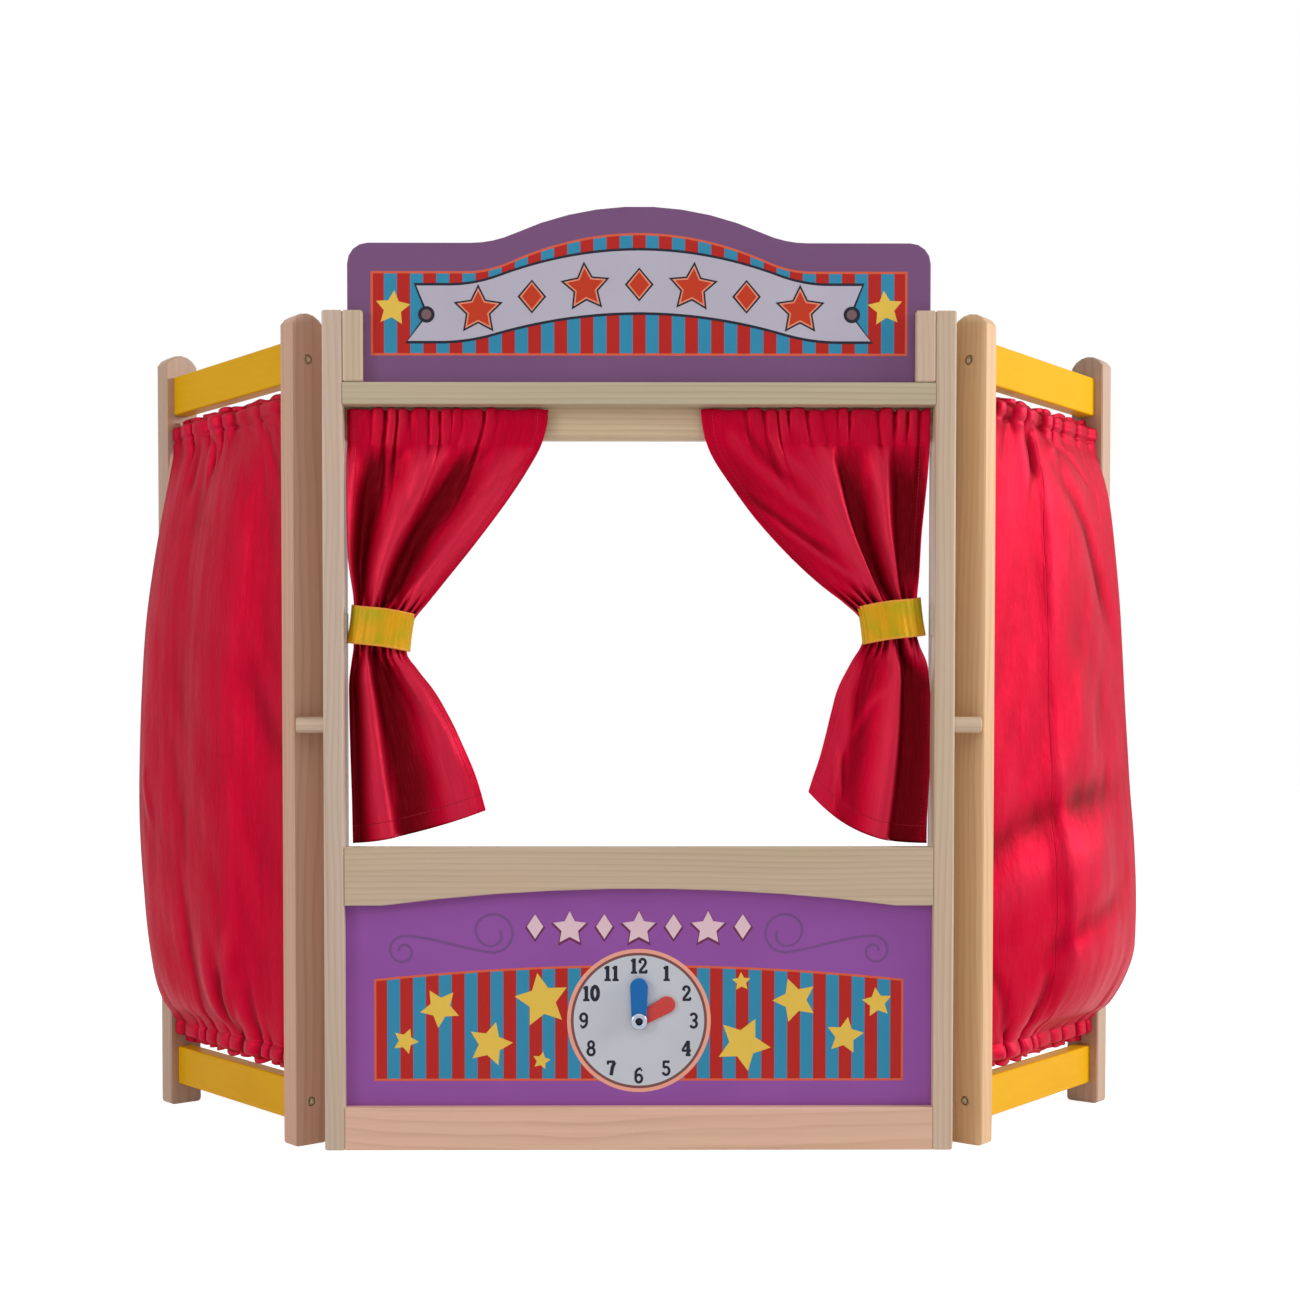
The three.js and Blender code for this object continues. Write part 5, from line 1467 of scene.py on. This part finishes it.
class THEATRE_OT_metalwork(bpy.types.Operator):
    """Finish the hinges, nut and tapes, and add the hinge screws, bolts and clock rivet"""

    bl_idname = "puppet_theatre.metalwork"
    bl_label = "Hinges, bolts and clock rivet"

    def execute(self, context):
        zinc = metal("zinc_plate", srgb(196, 198, 204), 0.32)
        tape = hook_tape()
        refinish("clock_nut", zinc)
        for name, _ in SIDES:
            refinish(f"{name}_curtain_tape", tape)
            refinish(f"{name}_tieback_patch", tape)
            for level in ("upper", "lower"):
                for part in ("frame_leaf", "wing_leaf", "pin"):
                    refinish(f"{name}_{level}_hinge_{part}", zinc)
        self.rivet()
        self.bolts(metal("bolt_steel", srgb(170, 152, 122), 0.3))
        self.screws(zinc, context.scene.theatre_sizes.screw_radius)
        return {"FINISHED"}

    @staticmethod
    def rivet():
        """A tubular rivet: a sunk bore, a rolled lip and a shank through the board."""
        low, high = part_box("clock_pivot")
        depth = (high.y - low.y) / MM
        centre_z = (low.z + high.z) / 2
        # Radius, and how far below the lip's crest, in mm
        head = [(0, 4.2), (2.1, 4.1), (2.5, 3.6), (2.7, 1.2), (3.1, 0.5), (3.7, 0.1), (4.4, 0),
                (5.4, 0.25), (6.2, 0.8), (6.65, 1.2), (6.7, 1.45), (6.4, 1.55), (3.0, 1.55)]
        profile = [(radius, depth - drop) for radius, drop in head] + [(3.0, 0.3), (2.7, 0), (0, 0)]
        shape = turned_fitting(np.array(profile)[::-1] * MM, 64)
        axes = ((1, 0, 0), (0, 0, 1), (0, -1, 0))
        piece = placed_fittings("clock_rivet", shape, [((0, high.y, centre_z), axes)],
                                tube_rivet((0, 0, centre_z)))
        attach(piece, "centre_frame")
        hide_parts("clock_pivot")

    @staticmethod
    def bolts(finish):
        """Bolts with a hexagon recess. Each starts inside a rail, so many mm along the wing from
        its pin, and ends at the outer edge of a stile."""
        profile = np.array([(0, 0), (2.0, 0), (2.2, 0.3), (2.2, 39), (3.4, 39), (3.8, 39.3), (3.8, 41.4),
                            (3.4, 42), (2.3, 42), (2.0, 41.7), (2.0, 40.2), (0, 40.2)])
        hexed = [0, 0, 0, 0, 0, 0, 0, 0, 1, 1, 1, 0]
        shape = turned_fitting(profile * MM, 36, hexed)
        for name, side in SIDES:
            for rail in ("top", "bottom"):
                height = middle_height(f"{name}_wing_{rail}_rail") / MM
                for stile, along, forwards in (("front", 43.0, -1), ("back", 195.0, 1)):
                    origin = wing_points(side, along, WING_MIDDLE_MM, height)
                    piece = placed_fittings(f"{name}_{rail}_{stile}_hex_bolt", shape,
                                            [(origin, wing_axes(side, forwards))], finish)
                    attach(piece, f"{name}_wing")
                    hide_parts(f"{name}_wing_{rail}_{stile}_bolt")

    @staticmethod
    def screws(finish, radius):
        """Three small domed screws in each hinge leaf."""
        leaf_x, leaf_back, leaf_along, leaf_outward = 0.2468, FRONT + 31.5 * MM, 7.2, 1.0
        frame_axes = ((1, 0, 0), (0, 0, -1), (0, 1, 0))
        # Radius as a share of the head's, and height in units of 0.9 mm
        profile = np.array([(0, -1.1), (0.9, -1.1), (0.9, 0.0), (1, 0.02), (0.94, 0.2), (0.7, 0.34),
                            (0.42, 0.4), (0.36, 0.34), (0.3, 0.1), (0, 0.05)])
        profile[:, 0] *= radius
        profile[:, 1] *= 0.9 * MM
        shape = turned_fitting(profile, 20, [0, 0, 0, 0, 0, 0, 1, 1, 1, 0])
        reach = (-0.015, 0.0, 0.015)
        for name, side in SIDES:
            frame_places, wing_places = [], []
            inward = -np.array([side * math.sin(WING_ANGLE), -math.cos(WING_ANGLE), 0])
            up = np.array([0, 0, 1.0])
            axes = (np.cross(up, inward), up, inward)
            for level in ("upper", "lower"):
                middle = middle_height(f"{name}_{level}_hinge_frame_leaf")
                frame_places += [((side * leaf_x, leaf_back, middle + step), frame_axes)
                                 for step in reach]
                wing_z = np.array([middle + step for step in reach]) / MM
                wing_places += [(wing_points(side, leaf_along, leaf_outward, z), axes) for z in wing_z]
            for body, places in (("centre_frame", frame_places), (f"{name}_wing", wing_places)):
                piece = placed_fittings(f"{name}_hinge_screws_{body}", shape, places, finish)
                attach(piece, body)


class THEATRE_OT_stage(bpy.types.Operator):
    """Set the pale floor, soft lamps, white surroundings and camera"""

    bl_idname = "puppet_theatre.stage"
    bl_label = "Floor, lamps and camera"

    def execute(self, context):
        stage = context.scene.theatre_stage
        scene = context.scene
        scene.view_settings.view_transform = "Standard"
        corners = np.array([(-6, -4, 0), (6, -4, 0), (6, 9, 0), (-6, 9, 0)], float)
        floor = make_piece("floor", corners, [[0, 1, 2, 3]], [self.floor_finish()])
        self.surroundings(scene, stage.daylight)
        self.lamp("key_lamp", (2.8, -0.45, 1.3), 1.1, stage.key)
        self.lamp("fill_lamp", (-2.2, -1.6, 1.1), 1.1, stage.fill)
        self.lamp("top_lamp", (0.1, -1.6, 2.1), 2.4, stage.top)
        # Place, tilt and turn in degrees, and shift, fitted to corners and edges in the photo
        tilt_down, turn_right = 1.575, 0.31
        data = bpy.data.cameras.new("camera")
        data.lens = stage.lens / MM
        data.sensor_width = 36
        data.shift_x = 0.030
        data.shift_y = 0.0996
        camera = bpy.data.objects.new("camera", data)
        camera.location = (-0.0305, FRONT - 1.4486, 0.3394)
        camera.rotation_euler = (math.radians(90 - tilt_down), 0, math.radians(-turn_right))
        scene.collection.objects.link(camera)
        scene.camera = camera
        return {"FINISHED"}

    @staticmethod
    def floor_finish():
        """Near-white floor with a faint speckle, lifted to white where the camera sees it lit."""
        finish = Finish("pale_floor", Roughness=0.8)
        place = finish.place()
        speckle = finish.noise(place, 60, 3)
        finish.feed(Base_Color=finish.mix(speckle * 0.3, srgb(246, 246, 246), srgb(232, 232, 232)))
        path = finish.tree.nodes.new("ShaderNodeLightPath")
        rays = [Signal(finish, path.outputs[f"Is {kind} Ray"]) for kind in ("Camera", "Glossy")]
        lift = rays[0].most(rays[1]) * 0.77
        glow = finish.node("ShaderNodeEmission", None, {"Color": (1, 1, 1, 1), "Strength": lift})
        both = finish.node("ShaderNodeAddShader", None, (Signal(finish, finish.shader.outputs[0]), glow))
        output = next(node for node in finish.tree.nodes if node.type == "OUTPUT_MATERIAL")
        finish.tree.links.new(both.socket, output.inputs["Surface"])
        return finish.material

    @staticmethod
    def surroundings(scene, daylight):
        """White as the camera, reflections and glass show it, and dimmer as even light."""
        world = bpy.data.worlds.new("white_room")
        scene.world = world
        world.use_nodes = True
        tree = world.node_tree
        tree.nodes.clear()
        path = tree.nodes.new("ShaderNodeLightPath")
        seen = path.outputs["Is Camera Ray"]
        for other in ("Is Glossy Ray", "Is Transmission Ray"):
            either = tree.nodes.new("ShaderNodeMath")
            either.operation = "MAXIMUM"
            tree.links.new(seen, either.inputs[0])
            tree.links.new(path.outputs[other], either.inputs[1])
            seen = either.outputs[0]
        strength = tree.nodes.new("ShaderNodeMapRange")
        strength.inputs["To Min"].default_value = daylight
        strength.inputs["To Max"].default_value = 1
        tree.links.new(seen, strength.inputs["Value"])
        background = tree.nodes.new("ShaderNodeBackground")
        background.inputs["Color"].default_value = (1, 1, 1, 1)
        tree.links.new(strength.outputs[0], background.inputs["Strength"])
        output = tree.nodes.new("ShaderNodeOutputWorld")
        tree.links.new(background.outputs[0], output.inputs["Surface"])

    @staticmethod
    def lamp(name, place, size, power):
        """A soft round lamp that looks at the middle of the theatre."""
        target = (0, -0.1, 0.4)
        data = bpy.data.lights.new(name, "AREA")
        data.shape = "DISK"
        data.size = size
        data.energy = power
        lamp = bpy.data.objects.new(name, data)
        lamp.location = place
        way = [goal - start for goal, start in zip(target, place)]
        flat = math.hypot(way[0], way[1])
        lamp.rotation_euler = Euler((math.pi / 2 + math.atan2(way[2], flat), 0,
                                     math.atan2(-way[0], way[1])))
        bpy.context.scene.collection.objects.link(lamp)


class THEATRE_PT_panel(bpy.types.Panel):
    """Lists the theatre's pieces, sizes and colours"""

    bl_idname = "THEATRE_PT_panel"
    bl_label = "Puppet theatre"
    bl_space_type = "VIEW_3D"
    bl_region_type = "UI"
    bl_category = "Puppet theatre"

    def draw(self, context):
        for operator in OPERATORS:
            self.layout.operator(operator.bl_idname)
        for group in (context.scene.theatre_colours, context.scene.theatre_sizes,
                      context.scene.theatre_stage):
            box = self.layout.box()
            for name in group.__annotations__:
                box.prop(group, name)


OPERATORS = (
    THEATRE_OT_wood, THEATRE_OT_paint, THEATRE_OT_boards, THEATRE_OT_header_print,
    THEATRE_OT_lower_print, THEATRE_OT_stage_curtains, THEATRE_OT_tiebacks,
    THEATRE_OT_wing_curtains, THEATRE_OT_metalwork, THEATRE_OT_stage,
)
CLASSES = (TheatreColours, TheatreSizes, TheatreStage, *OPERATORS, THEATRE_PT_panel)


def register():
    for item in CLASSES:
        bpy.utils.register_class(item)
    bpy.types.Scene.theatre_colours = PointerProperty(type=TheatreColours)
    bpy.types.Scene.theatre_sizes = PointerProperty(type=TheatreSizes)
    bpy.types.Scene.theatre_stage = PointerProperty(type=TheatreStage)


def unregister():
    del bpy.types.Scene.theatre_stage
    del bpy.types.Scene.theatre_sizes
    del bpy.types.Scene.theatre_colours
    for item in reversed(CLASSES):
        bpy.utils.unregister_class(item)


def main():
    """Makes every piece and the stage."""
    register()
    for operator in OPERATORS:
        getattr(bpy.ops.puppet_theatre, operator.bl_idname.split(".")[1])()


if __name__ == "__main__":
    main()
